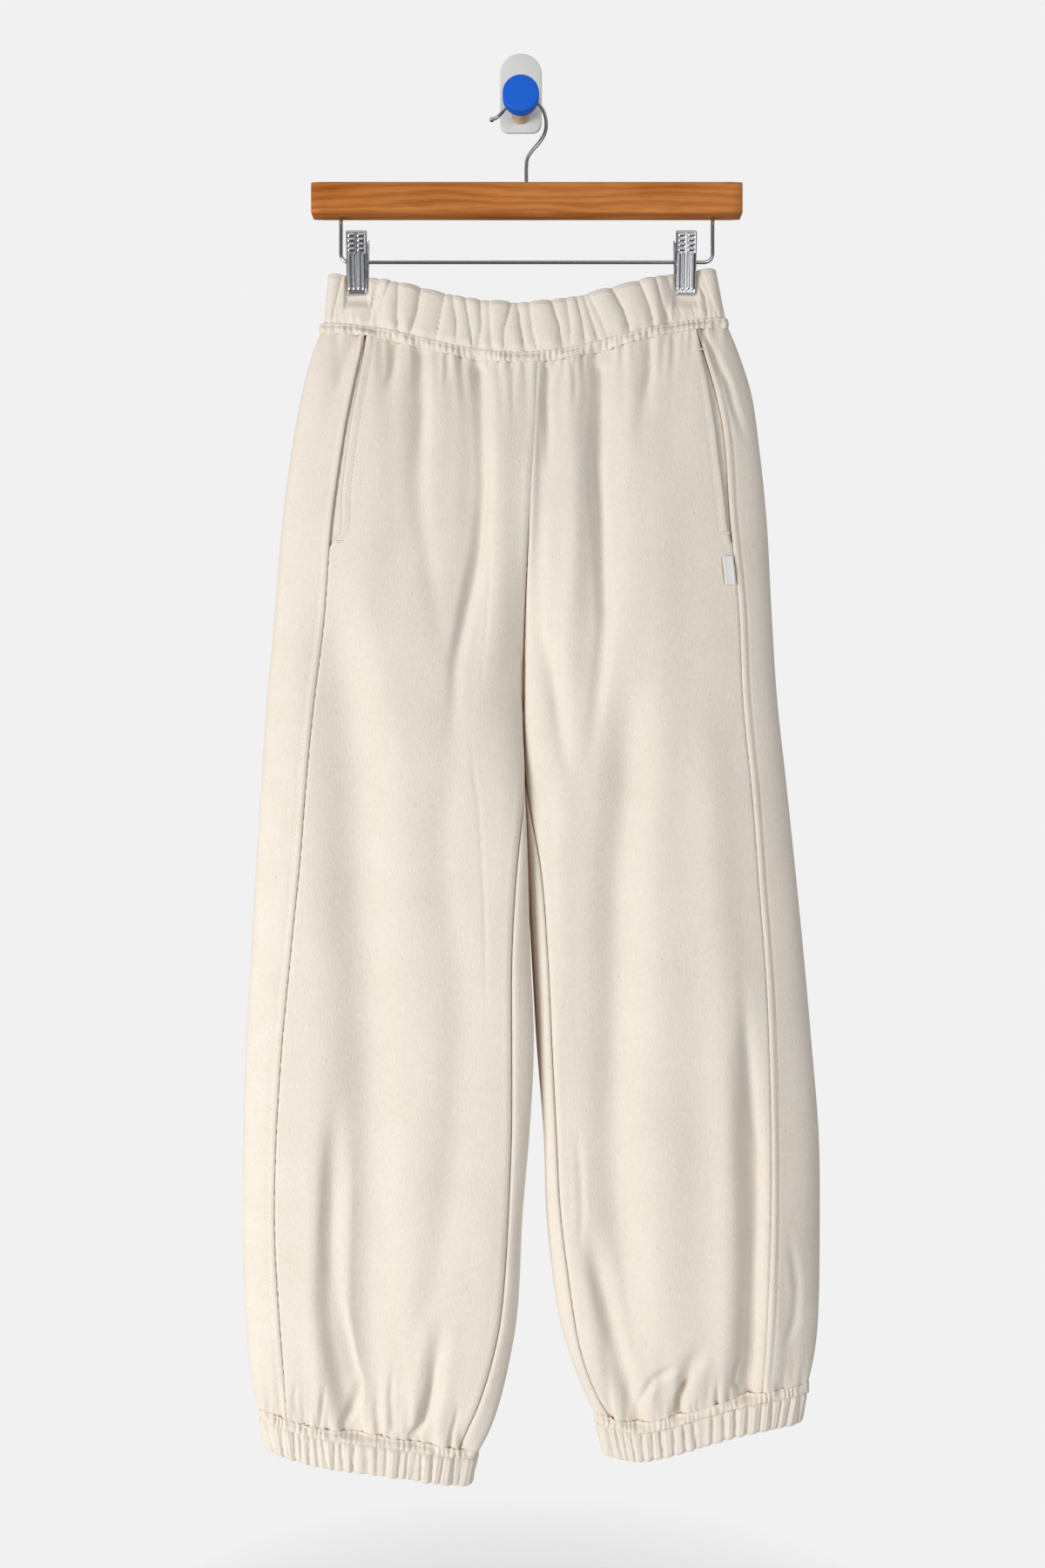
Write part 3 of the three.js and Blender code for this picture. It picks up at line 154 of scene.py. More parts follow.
# Finer creases: side, width, depth, share of the length that fades in and out, and the path
CREASES = [
    (1, 3.2, 1.0, 0.02, 0.5, [(-137, 214), (-144, 236), (-153, 262)]),
    (1, 3.6, 1.8, 0.02, 0.5, [(-104, 218), (-105.5, 243), (-111, 264)]),
    (1, 5.6, 2.1, 0.02, 0.6, [(-82, 226), (-80.5, 280), (-83, 340)]),
    (1, 6.4, 3.3, 0.02, 0.5, [(-36, 236), (-32, 262), (-30, 345), (-34, 394), (-44, 443),
        (-53, 490), (-56, 571)]),
    (1, 1.8, 0.35, 0.1, 0.3, [(-22, 250), (-22, 334), (-26, 430), (-32, 500), (-41, 536)]),
    (1, 2.4, 0.45, 0.2, 0.4, [(-41, 536), (-40, 562), (-34, 609), (-30, 678), (-27, 800)]),
    (1, 4.2, 2.1, 0.02, 0.5, [(22, 240), (20.5, 270), (23, 294), (22, 332)]),
    (1, 6.0, 1.4, 0.25, 0.5, [(8, 446), (24, 480), (32, 536), (40, 590)]),
    (1, 6.8, 3.3, 0.02, 0.45, [(66, 236), (65, 279), (62.5, 325), (65.5, 371), (69.5, 452),
        (62, 523), (52, 587)]),
    (1, 3.0, 1.9, 0.02, 0.6, [(107, 222), (106.5, 245), (100, 284)]),
    (1, 4.0, 1.7, 0.02, 0.5, [(150, 206), (162, 235), (171, 254), (176, 274), (184, 297), (189, 314)]),
    (1, 3.0, 0.8, 0.02, 0.6, [(128, 214), (127, 232), (123, 255)]),
    (1, 3.0, 0.7, 0.02, 0.6, [(-62, 228), (-61, 246), (-64, 270)]),
    (1, 3.0, 0.7, 0.02, 0.6, [(-6, 238), (-7, 258), (-6, 290)]),
    (1, 3.4, 0.8, 0.02, 0.6, [(44, 236), (45, 256), (43, 286)]),
    (1, 7.0, 1.0, 0.5, 0.4, [(-150, 821), (-157, 952), (-153, 1031)]),
    (1, 4.0, 2.9, 0.8, 0.12, [(-155, 975), (-146, 1035), (-140, 1069), (-136, 1079), (-137, 1094),
        (-142, 1108), (-148, 1122)]),
    (1, 3.6, 2.8, 0.7, 0.1, [(-65, 1035), (-72, 1074), (-77, 1097), (-82, 1113), (-91, 1128)]),
    (1, 3.0, 1.8, 0.6, 0.1, [(-104, 1052), (-107, 1092), (-105, 1126)]),
    (1, 2.6, 1.8, 0.6, 0.1, [(-50, 1090), (-57, 1124), (-60, 1140)]),
    (1, 2.4, 0.8, 0.4, 0.1, [(-118, 1090), (-120, 1108), (-117, 1126)]),
    (1, 2.6, 1.7, 0.6, 0.1, [(-160, 1074), (-164, 1100), (-166, 1120)]),
    (1, 2.6, 0.8, 0.4, 0.1, [(-184, 1072), (-187, 1094), (-184, 1114)]),
    (1, 7.0, 2.1, 0.5, 0.12, [(178, 700), (187, 851), (191, 901), (191, 937), (189, 973),
        (188, 1028), (188, 1052), (189, 1068), (189, 1092)]),
    (1, 3.0, 0.9, 0.3, 0.5, [(184, 852), (189, 870), (192, 891), (199, 910)]),
    (1, 2.6, 1.6, 0.3, 0.2, [(182, 1048), (176, 1062), (175, 1078), (183, 1092)]),
    (1, 4.0, 0.9, 0.4, 0.4, [(45, 858), (47.5, 891), (50, 935), (47.5, 978)]),
    (1, 6.0, 1.7, 0.35, 0.15, [(55, 952), (64, 995), (74.5, 1035), (86, 1075), (94, 1099), (98, 1118)]),
    (1, 3.4, 2.4, 0.3, 0.4, [(96, 1108), (99, 1092), (108, 1076), (125, 1063), (140, 1057)]),
    (1, 2.8, 3.4, 0.5, 0.1, [(142, 1063), (135, 1079), (130, 1090), (129, 1108)]),
    (1, 2.2, 0.9, 0.4, 0.1, [(98, 1100), (97, 1118)]),
    (1, 2.2, 0.9, 0.4, 0.1, [(146, 1088), (145, 1106)]),
    (1, 2.2, 0.9, 0.4, 0.1, [(162, 1078), (161, 1102)]),
    (1, 4.0, 1.2, 0.4, 0.3, [(218, 944), (222, 971), (226, 997), (224, 1028), (214, 1056)]),
    (-1, 4.0, 1.2, 0.02, 0.5, [(-142, 214), (-150, 244), (-158, 280)]),
    (-1, 5.0, 1.6, 0.02, 0.5, [(-92, 222), (-95, 270), (-104, 340)]),
    (-1, 6.0, 2.0, 0.02, 0.5, [(-58, 230), (-60, 310), (-66, 420), (-78, 540)]),
    (-1, 3.4, 1.2, 0.02, 0.6, [(-22, 236), (-25, 268), (-24, 310)]),
    (-1, 5.0, 1.7, 0.02, 0.5, [(40, 232), (42, 290), (38, 380)]),
    (-1, 3.6, 1.2, 0.02, 0.6, [(72, 224), (74, 256), (70, 300)]),
    (-1, 6.0, 2.0, 0.02, 0.5, [(98, 220), (101, 300), (97, 400), (88, 520)]),
    (-1, 4.0, 1.3, 0.02, 0.5, [(146, 208), (155, 240), (164, 286)]),
    (-1, 5.0, 1.6, 0.3, 0.5, [(-4, 470), (-18, 530), (-34, 610)]),
    (-1, 5.0, 1.6, 0.3, 0.5, [(10, 474), (28, 540), (38, 600)]),
    (-1, 5.0, 2.0, 0.35, 0.12, [(-118, 880), (-125, 980), (-121, 1060), (-114, 1126)]),
    (-1, 3.4, 1.6, 0.4, 0.1, [(-168, 1030), (-174, 1076), (-166, 1120)]),
    (-1, 3.4, 1.6, 0.4, 0.1, [(-62, 1044), (-70, 1090), (-66, 1134)]),
    (-1, 5.5, 2.2, 0.35, 0.12, [(150, 820), (157, 930), (154, 1020), (150, 1100)]),
    (-1, 3.4, 1.6, 0.4, 0.1, [(90, 1010), (104, 1066), (108, 1114)]),
    (-1, 3.4, 1.5, 0.4, 0.1, [(206, 1010), (204, 1056), (196, 1090)]),
]

# Broad hollows, and ridges with a depth below 0: side, width, depth and the path
BROAD = [
    (1, 26, 9.5, [(-150, 456), (-139, 550), (-134, 658), (-125, 766), (-123, 874), (-124, 983),
        (-127, 1100)]),
    (1, 17, -2.2, [(-114, 240), (-118, 362), (-128, 450), (-118, 520)]),
    (1, 13, 1.6, [(-63, 230), (-58, 326), (-55, 434), (-60, 521)]),
    (1, 8, 1.7, [(-89, 226), (-86, 330), (-68, 450)]),
    (1, 13, 2.0, [(-55, 550), (-63, 651), (-51, 759), (-55, 867), (-67, 975), (-89, 1055)]),
    (1, 14, -2.6, [(-19, 254), (-19, 434), (-22, 500)]),
    (1, 26, -4.5, [(-10, 540), (-8, 600), (-8, 730), (-8, 800), (-10, 875), (-16, 945),
        (-22, 1020), (-36, 1095)]),
    (1, 18, 8.8, [(89, 520), (88, 580), (80, 658), (79, 766), (76, 874), (83, 983), (94, 1070)]),
    (1, 13, -2.6, [(38, 560), (32, 658), (30, 766), (26, 874), (34, 960)]),
    (1, 20, -2.2, [(116, 330), (115, 579), (120, 795), (117, 975)]),
    (1, 19, -3.6, [(152, 540), (158, 658), (165, 766), (170, 874), (171, 983), (170, 1080)]),
    (1, 9, -1.8, [(44, 250), (45, 380), (36, 470)]),
    (1, 7, 2.4, [(16, 280), (15, 400), (15, 480)]),
    (1, 8, -1.6, [(207, 1000), (210, 1060)]),
    (-1, 17, 3.2, [(-120, 420), (-128, 600), (-124, 820), (-118, 1000), (-116, 1120)]),
    (-1, 18, -2.4, [(-84, 260), (-90, 480), (-82, 760), (-84, 1040)]),
    (-1, 15, 2.6, [(-48, 380), (-44, 620), (-50, 860), (-58, 1060)]),
    (-1, 16, 3.0, [(62, 480), (66, 680), (60, 880), (72, 1070)]),
    (-1, 18, -2.4, [(110, 300), (112, 560), (108, 860), (116, 1060)]),
    (-1, 15, 2.8, [(150, 500), (160, 740), (156, 980), (152, 1100)]),
]

# Creases of the waistband's front: X at its top edge, middle and foot, and their depth share
BAND_CREASES = table("top mid foot dip", [
    (-150.8, -154, -157.3, 0.8), (-141, -145, -148, 0.4), (-119.8, -124, -125.5, 0.85),
    (-109.7, -116, -119, 0.6), (-102.4, -102.5, -101, 0.95), (-83.7, -86.6, -93, 1),
    (-62.8, -67, -71.4, 1), (-56.3, -53.5, -54.1, 0.55), (-46.2, -42.6, -40.4, 0.7),
    (-33.2, -32.5, -36.8, 1), (-24.6, -24.6, -24.6, 0.5), (-7.3, -13.6, -15.2, 0.7),
    (-1.5, 0, 2.8, 0.95), (8.6, 9.4, 13.7, 0.75), (26.6, 31.7, 33.1, 0.85), (38.9, 41, 40, 0.55),
    (47.6, 50.5, 51.6, 0.75), (54, 58.6, 63, 0.9), (58.5, 66, 71.5, 0.55), (77.1, 85.1, 88.7, 1),
    (100.9, 106, 108.1, 1), (114.6, 116.8, 120.4, 0.95), (125, 129, 132.7, 0.45),
    (139, 141.5, 142.8, 0.55), (146.4, 152.5, 152.2, 0.9), (152.9, 157.9, 161, 0.45),
])

# Bars of thread at the pockets' ends: X, drop and length
BARTACKS = {"left": [(-149, 386, 7)], "right": [(148.5, 228, 7), (168, 381, 8)]}

rng = np.random.default_rng(7)


# Helpers
def smooth(t):
    t = np.clip(t, 0, 1)
    return t * t * (3 - 2 * t)


def mix(a, b, t):
    return a + (b - a) * t


def unit(vectors):
    return vectors / np.maximum(np.linalg.norm(vectors, axis=-1, keepdims=True), 1e-9)


def stacked(x, y, z):
    """Points from coordinates whose shapes fit together."""
    return np.stack(np.broadcast_arrays(x, y, z), -1)


def at(rows, key, column, place):
    """Value of a column at a place along the key column, on a smooth curve through the rows."""
    keys, values = rows[key], rows[column]
    last = len(keys) - 1
    place = np.clip(place, keys[0], keys[-1])
    i = np.clip(np.searchsorted(keys, place, side="right") - 1, 0, last - 1)
    before = np.maximum(np.arange(last + 1) - 1, 0)
    after = np.minimum(np.arange(last + 1) + 1, last)
    slopes = (values[after] - values[before]) / (keys[after] - keys[before])
    span = keys[i + 1] - keys[i]
    t = (place - keys[i]) / span
    bend = (slopes[i] * (1 - t) - slopes[i + 1] * t) * span * t * (1 - t)
    return mix(values[i], values[i + 1], smooth(t)) + bend


def waist_seam(x):
    return 204 + 28.3 * np.cos(math.pi * x / 345) ** 2 - 0.012 * x


def band_top(x):
    return 157 + 28.3 * np.cos(math.pi * x / 350) ** 2 - 0.012 * x


LEFT = {"name": "left", "rows": LEFT_ROWS, "mouth": LEFT_MOUTH, "cuff": LEFT_CUFF, "out": -1}
RIGHT = {"name": "right", "rows": RIGHT_ROWS, "mouth": RIGHT_MOUTH, "cuff": RIGHT_CUFF, "out": 1}


def real_drop(leg, x, level):
    top = (waist_seam(x) - WAIST_LEVEL) * (1 - smooth((level - WAIST_LEVEL) / TOP_BLEND))
    foot = at(leg["cuff"], "x", "drop", x) - FOOT_LEVEL
    return level + top + foot * smooth((level - FOOT_LEVEL + FOOT_BLEND) / FOOT_BLEND)


def line_x(leg, column, level):
    guess = at(leg["rows"], "drop", column, level)
    return at(leg["rows"], "drop", column, real_drop(leg, guess, level))


def section(leg, level):
    """Centre and signed reach of a leg's section: the reach points to the inner edge."""
    half = mix(-0.3, LEG_GAP / 2, smooth((level - CROTCH_DROP) / 90))
    outer = line_x(leg, "outer", level)
    inner = line_x(leg, "inner", level) + leg["out"] * half
    return (outer + inner) / 2, (inner - outer) / 2


def power(value, exponent):
    return np.sign(value) * np.abs(value) ** exponent


def body_round(share):
    """Share of the full depth at a share of the half width."""
    return np.sqrt(np.maximum(0, 1 - np.abs(share) ** BODY_POWER))


def angle_to_x(part, angle):
    return part[0] + part[1] * power(np.cos(angle), 2 / LEG_POWER)


def x_to_angle(part, x):
    share = np.clip((x - part[0]) / part[1], -1, 1)
    return np.arccos(power(share, LEG_POWER / 2))


def fold_depth(x, drop, front):
    total = np.zeros(np.broadcast(x, drop).shape)
    for k in range(len(FOLDS["side"])):
        f = {name: column[k] for name, column in FOLDS.items()}
        inside = (np.asarray(front) == f["side"]) & (drop > f["d0"]) & (drop < f["d2"])
        t = (drop - f["d0"]) / (f["d1"] - f["d0"])
        u = (drop - f["d1"]) / (f["d2"] - f["d1"])
        path = np.where(drop < f["d1"], mix(f["x0"], f["x1"], t), mix(f["x1"], f["x2"], smooth(u)))
        off = (x - path) / f["width"]
        run = f["d2"] - f["d0"]
        top = 1 if f["d0"] < 230 else smooth((drop - f["d0"]) / (0.35 * run))
        foot = 1 if f["d2"] > 1104 else smooth((f["d2"] - drop) / (0.6 * run))
        trough = f["depth"] * top * foot * (1 - 1.1 * off * off) * np.exp(-off * off)
        total += np.where(inside, trough, 0)
    return total


def skin(leg, angle, level, front):
    """Points on the garment's outside, and their drops."""
    part = section(leg, level)
    x = angle_to_x(part, angle)
    drop = real_drop(leg, x, level)
    split = smooth((level - SPLIT_START) / (CROTCH_DROP - SPLIT_START))
    left, right = line_x(LEFT, "outer", level), line_x(RIGHT, "outer", level)
    body = body_round((2 * x - left - right) / (right - left))
    full = LEG_FULLNESS[leg["name"]] * smooth((level - 490) / 120) * (np.cos(angle) > 0) * (front > 0)
    around = mix(body, np.abs(np.sin(angle)) ** (1 - full), split)
    calm = np.minimum(1, around * 1.6)
    depth = at(DEPTHS, "drop", "half", level) * around - fold_depth(x, drop, front) * calm
    y = at(DEPTHS, "drop", "middle", level) - front * depth
    return stacked(x, y, -drop), drop


# Fine relief of the cloth, outward in millimetres
def broad_relief(x, drop, front):
    total = np.zeros_like(x)
    for side, width, depth, path in BROAD:
        rows = table("x drop", path)
        reach = rows["drop"][[0, -1]]
        off = (x - at(rows, "drop", "x", drop)) / width
        fade = smooth((drop - reach[0] + 50) / 110) * smooth((reach[1] + 50 - drop) / 110)
        total -= np.where(np.asarray(front) == side, depth * fade * np.exp(-off * off), 0)
    return total


def crease_relief(x, drop, front):
    total = np.zeros_like(x)
    for side, width, depth, fade_in, fade_out, path in CREASES:
        points = np.array(path, float)
        steps = np.hypot(*(points[1:] - points[:-1]).T)
        runs = np.concatenate(([0], np.cumsum(steps)))
        best = np.full(x.shape, 1e9)
        along = np.zeros_like(x)
        for a, b, run, step in zip(points[:-1], points[1:], runs, steps):
            t = ((x - a[0]) * (b[0] - a[0]) + (drop - a[1]) * (b[1] - a[1])) / step ** 2
            t = np.clip(t, 0, 1)
            off = np.hypot(x - mix(a[0], b[0], t), drop - mix(a[1], b[1], t))
            nearer = off < best
            best = np.where(nearer, off, best)
            along = np.where(nearer, run + t * step, along)
        share = along / runs[-1]
        fade = smooth(share / fade_in) * smooth((1 - share) / fade_out)
        t = best / width
        trough = 1.3 * depth * fade * (1 - 0.8 * t * t) * np.exp(-t * t)
        total -= np.where(np.asarray(front) == side, trough, 0)
    return total


def gather_spots(start, end, pitch, seed, size=1.0):
    """Uneven places of gathers with their own width, depth, length and slant."""
    local = np.random.default_rng(seed)
    count = int((end - start) / pitch)
    places = start + (np.arange(count) + local.uniform(0.2, 0.8, count)) * pitch
    return np.stack([
        places,
        size * local.uniform(1.3, 2.9, count),
        local.uniform(0.2, 1.0, count) ** 1.5,
        size * local.uniform(8, 34, count),
        local.uniform(-0.12, 0.12, count),
    ], axis=1)


def all_spots(start, end, seed, size):
    """Small gathers, and some wider and longer ones between them."""
    return np.concatenate([
        gather_spots(start, end, 5.0, seed), gather_spots(start, end, 6.5 * size, seed + 20, size)])


WAIST_SPOTS = {1: all_spots(-166, 174, 11, 1.7), -1: all_spots(-166, 174, 12, 1.7)}
CUFF_SPOTS = {
    ("left", 1): all_spots(-212, -38, 21, 2.2), ("left", -1): all_spots(-212, -38, 22, 2.2),
    ("right", 1): all_spots(64, 238, 23, 2.2), ("right", -1): all_spots(64, 238, 24, 2.2),
}


def gather_relief(x, distance, front, spots, height):
    """Small puckers that run from a gathered seam and die out with distance from it."""
    total = np.zeros_like(x)
    near = np.maximum(distance, 0)
    for side, rows in spots.items():
        here = np.asarray(front) == side
        for place, width, depth, length, slant in rows:
            off = (x - place - slant * near) / (width + 0.05 * near)
            total -= np.where(here, depth * np.exp(-off * off) * np.exp(-near / length), 0)
    return total * height


WAVES = [(rng.uniform(45, 150), rng.uniform(0, math.tau), rng.uniform(0, math.tau)) for _ in range(12)]


def wave_relief(x, drop, front):
    """Slow unevenness of a soft cloth that hangs."""
    total = np.zeros_like(x)
    for length, turn, phase in WAVES:
        k = math.tau / length
        place = x * math.cos(turn) + drop * 0.45 * math.sin(turn)
        total += np.sin(k * place + phase + 1.7 * np.asarray(front))
    return total * 0.16


def pucker(drop, distance, reach=9.0, height=0.22):
    """Ripples along a sewn seam."""
    wave = np.sin(drop * math.tau / 8.3) + 0.6 * np.sin(drop * math.tau / 5.1 + 1.3)
    return height * wave * np.exp(-np.maximum(distance, 0) / reach)


def body_relief(leg, x, drop, front):
    """Relief that all the panels of a leg share."""
    total = crease_relief(x, drop, front) + broad_relief(x, drop, front) + wave_relief(x, drop, front)
    total += gather_relief(x, drop - waist_seam(x) - 4, front, WAIST_SPOTS, 2.4)
    spots = {side: CUFF_SPOTS[leg["name"], side] for side in (1, -1)}
    total += gather_relief(x, at(leg["cuff"], "x", "drop", x) - 3 - drop, front, spots, 3.0)
    return total


# Grids and meshes
def grid_normals(points, flip):
    return flip * unit(np.cross(np.gradient(points, axis=1), np.gradient(points, axis=0)))


def new_object(name, vertices, faces, material, flat=False):
    """A piece from vertices in millimetres, with its faces turned outwards."""
    mesh = bpy.data.meshes.new(name)
    faces = faces.tolist() if isinstance(faces, np.ndarray) else faces
    mesh.from_pydata((np.asarray(vertices).reshape(-1, 3) * MM).tolist(), [], faces)
    sides = bmesh.new()
    sides.from_mesh(mesh)
    bmesh.ops.recalc_face_normals(sides, faces=sides.faces)
    closed = not any(edge.is_boundary for edge in sides.edges)
    if closed and sides.calc_volume(signed=True) < 0:
        bmesh.ops.reverse_faces(sides, faces=sides.faces)
    sides.to_mesh(mesh)
    sides.free()
    mesh.update()
    mesh.polygons.foreach_set("use_smooth", [not flat] * len(mesh.polygons))
    mesh.materials.append(material)
    piece = bpy.data.objects.new(name, mesh)
    bpy.context.scene.collection.objects.link(piece)
    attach(piece, "root")
    return piece


def shifted(faces, by):
    return [tuple(i + by for i in face) for face in faces]


def quads(rows, columns, ring):
    """Faces between the rows of a grid, closed round its columns where it is a ring."""
    i, j = np.meshgrid(np.arange(rows - 1), np.arange(columns if ring else columns - 1), indexing="ij")
    k = (j + 1) % columns
    above, below = i * columns, (i + 1) * columns
    return np.stack([above + j, below + j, below + k, above + k], -1).reshape(-1, 4)


def loop_faces(rows, columns):
    """Faces of a ring grid whose last row meets its first."""
    j = np.arange(columns)
    k = (j + 1) % columns
    foot = (rows - 1) * columns
    return np.concatenate([quads(rows, columns, True), np.stack([foot + j, j, k, foot + k], -1)])


def capped_faces(rows, columns, turn=1):
    """Faces of a ring grid with a flat cap on both ends."""
    faces = [tuple(face) for face in quads(rows, columns, True).tolist()]
    faces.append(tuple(reversed(range(columns))))
    faces.append(tuple(range((rows - 1) * columns, rows * columns)))
    return [face[::-1] for face in faces] if turn < 0 else faces


def fan_faces(rings, spokes):
    """Faces from a middle point, which is the first, over the rings of points round it."""
    fan = [(0, 1 + k, 1 + (k + 1) % spokes) for k in range(spokes)]
    return fan + shifted(quads(rings, spokes, True).tolist(), 1)


def shell_faces(rows, columns, ring, turn):
    """Faces of a closed wall between an outer and an inner grid."""
    outer = quads(rows, columns, ring)
    shift = rows * columns
    inner = quads(rows, columns, ring)[:, ::-1] + shift
    spans = np.arange(columns if ring else columns - 1)
    after = (spans + 1) % columns
    foot = (rows - 1) * columns
    top_edge = np.stack([spans, after, shift + after, shift + spans], -1)
    foot_edge = np.stack([foot + after, foot + spans, shift + foot + spans, shift + foot + after], -1)
    parts = [outer, inner, top_edge, foot_edge]
    if not ring:
        down = np.arange(rows - 1) * columns
        below = down + columns
        end = columns - 1
        parts.append(np.stack([below, down, shift + down, shift + below], -1))
        parts.append(np.stack([down + end, below + end, shift + below + end, shift + down + end], -1))
    faces = np.concatenate(parts)
    return faces[:, ::-1] if turn < 0 else faces


def shell(name, outer, normals, thickness, material, turn=1):
    """A thin closed wall behind a grid of outer points."""
    rows, columns = outer.shape[:2]
    vertices = np.concatenate([outer, outer - normals * thickness])
    return new_object(name, vertices, shell_faces(rows, columns, False, turn), material)


def capped(name, grid, material, turn=1):
    rows, columns = grid.shape[:2]
    return new_object(name, grid, capped_faces(rows, columns, turn), material)


# Materials
def principled(name, color, roughness, **sockets):
    material = bpy.data.materials.new(name)
    material.use_nodes = True
    shader = material.node_tree.nodes["Principled BSDF"]
    shader.inputs["Base Color"].default_value = (*color, 1)
    shader.inputs["Roughness"].default_value = roughness
    for socket, value in sockets.items():
        shader.inputs[socket.replace("_", " ")].default_value = value
    return material, material.node_tree, shader


def node(tree, kind, **settings):
    made = tree.nodes.new(kind)
    for key, value in settings.items():
        if key in made.inputs:
            made.inputs[key].default_value = value
        else:
            setattr(made, key, value)
    return made


def noise(tree, vector, scale, detail=2.0, roughness=0.5):
    made = node(tree, "ShaderNodeTexNoise", Scale=scale, Detail=detail, Roughness=roughness)
    tree.links.new(vector, made.inputs["Vector"])
    return made.outputs["Fac"]


def stretched(tree, scale):
    """Object coordinates in metres, stretched by a scale for each axis."""
    coordinates = node(tree, "ShaderNodeTexCoord")
    mapping = node(tree, "ShaderNodeMapping")
    mapping.inputs["Scale"].default_value = scale
    tree.links.new(coordinates.outputs["Object"], mapping.inputs["Vector"])
    return mapping.outputs["Vector"]


def ramp(tree, value, stops):
    made = node(tree, "ShaderNodeValToRGB")
    tree.links.new(value, made.inputs["Fac"])
    elements = made.color_ramp.elements
    while len(elements) < len(stops):
        elements.new(0.5)
    for element, (place, color) in zip(elements, stops):
        element.position = place
        element.color = (*color, 1) if len(color) == 3 else color
    return made.outputs["Color"]


def blend(tree, factor, a, b, kind="MIX"):
    made = node(tree, "ShaderNodeMix", data_type="RGBA", blend_type=kind)
    for value, socket in ((factor, 0), (a, 6), (b, 7)):
        if hasattr(value, "is_linked"):
            tree.links.new(value, made.inputs[socket])
        else:
            made.inputs[socket].default_value = value
    return made.outputs[2]


def bump(tree, shader, height, strength, distance, before=None):
    made = node(tree, "ShaderNodeBump", Strength=strength, Distance=distance)
    tree.links.new(height, made.inputs["Height"])
    if before is not None:
        tree.links.new(before, made.inputs["Normal"])
    tree.links.new(made.outputs["Normal"], shader.inputs["Normal"])
    return made.outputs["Normal"]


def grained(name, color, roughness, stretch, grain, height, tones=None, **sockets):
    """A material whose bumps, and tones where it has them, come from one noise."""
    material, tree, shader = principled(name, color, roughness, **sockets)
    value = noise(tree, stretched(tree, stretch), *grain)
    if tones:
        toned = ramp(tree, value, [(0.3, tones[0]), (0.7, tones[1])])
        tree.links.new(toned, shader.inputs["Base Color"])
    bump(tree, shader, value, *height)
    return material, tree, shader, value


FLEECE = (0.835, 0.77, 0.688)
EVEN = (1, 1, 1)
WHITE = (1, 1, 1)
BLACK = (0, 0, 0)


def fleece_material(name, shade):
    material, tree, shader = principled(
        name, FLEECE, 1.0, Sheen_Weight=0.12, Sheen_Roughness=0.6, Specular_IOR_Level=0.04)
    shader.inputs["Sheen Tint"].default_value = (1, 0.97, 0.92, 1)
    even = stretched(tree, EVEN)
    mottle = ramp(tree, noise(tree, even, 26, 4, 0.6), [
        (0.3, (0.815, 0.748, 0.662)), (0.55, FLEECE), (0.8, (0.852, 0.79, 0.712))])
    wales = noise(tree, stretched(tree, (1, 1, 0.25)), 900, 3, 0.65)
    streaks = ramp(tree, wales, [(0.3, (0.45, 0.4, 0.33)), (0.7, WHITE)])
    streaked = blend(tree, 0.16, mottle, streaks, "MULTIPLY")
    cells = node(tree, "ShaderNodeTexVoronoi", Scale=260.0, Randomness=1.0)
    tree.links.new(stretched(tree, (1, 1, 0.6)), cells.inputs["Vector"])
    near = ramp(tree, cells.outputs["Distance"], [(0.07, WHITE), (0.15, BLACK)])
    rare = ramp(tree, cells.outputs["Color"], [(0.8, BLACK), (0.9, WHITE)])
    speck = blend(tree, 1.0, near, rare, "MULTIPLY")
    flecked = blend(tree, speck, streaked, (0.52, 0.42, 0.3, 1))
    # Painted shade: occlusion tints the base colour toward the shade colour in creases, seams, slits and
    # hollows
    hollow = node(tree, "ShaderNodeAmbientOcclusion", samples=6, Distance=0.014)
    painted_hollow_shade = ramp(tree, hollow.outputs["AO"], [(0.12, shade), (0.7, WHITE)])
    tree.links.new(blend(tree, 1.0, flecked, painted_hollow_shade, "MULTIPLY"), shader.inputs["Base Color"])
    nap = bump(tree, shader, noise(tree, even, 1300, 3, 0.7), 0.45, 0.0006)
    pile = bump(tree, shader, noise(tree, even, 420, 3, 0.65), 0.16, 0.001, nap)
    bump(tree, shader, wales, 0.4, 0.0008, pile)
    return material


def thread_material():
    return grained("thread", (0.86, 0.8, 0.71), 0.7, EVEN, (2500, 2, 0.5), (0.3, 0.0002),
                   Sheen_Weight=0.3)[0]


def label_material():
    return grained("label", (0.87, 0.87, 0.86), 0.55, (1, 1, 0.15), (2400, 2, 0.5), (0.3, 0.0002),
                   Sheen_Weight=0.2)[0]


def bar_material():
    material, tree, shader = principled(
        "bar wood", (0.5, 0.2, 0.06), 0.5, Specular_IOR_Level=0.22, Coat_Weight=0.06, Coat_Roughness=0.3)
    long = stretched(tree, (1.0, 9.0, 9.0))
    warp = noise(tree, stretched(tree, (2.2, 7, 7)), 3.2, 3, 0.55)
    rings = node(tree, "ShaderNodeTexWave", wave_type="BANDS", bands_direction="Z", Scale=5.0,
                 Distortion=9.0, Detail=3.0)
    rings.inputs["Detail Scale"].default_value = 1.4
    tree.links.new(long, rings.inputs["Vector"])
    base = ramp(tree, rings.outputs["Fac"], [
        (0.0, (0.36, 0.1, 0.012)), (0.45, (0.5, 0.16, 0.026)), (1.0, (0.6, 0.22, 0.045))])
    toned = blend(tree, 0.45, base, ramp(tree, warp, [
        (0.3, (0.34, 0.09, 0.01)), (0.62, (0.66, 0.27, 0.07))]))
    pores = noise(tree, stretched(tree, (14, 420, 420)), 3.0, 3, 0.7)
    lines = ramp(tree, pores, [(0.34, (0.45, 0.35, 0.25)), (0.5, WHITE)])
    tree.links.new(blend(tree, 0.4, toned, lines, "MULTIPLY"), shader.inputs["Base Color"])
    bump(tree, shader, pores, 0.12, 0.0003)
    return material


def peg_material():
    return grained("peg wood", (0.62, 0.42, 0.27), 0.6, (320, 22, 320), (2.5, 3, 0.6), (0.15, 0.0003),
                   ((0.5, 0.32, 0.19), (0.7, 0.5, 0.34)))[0]


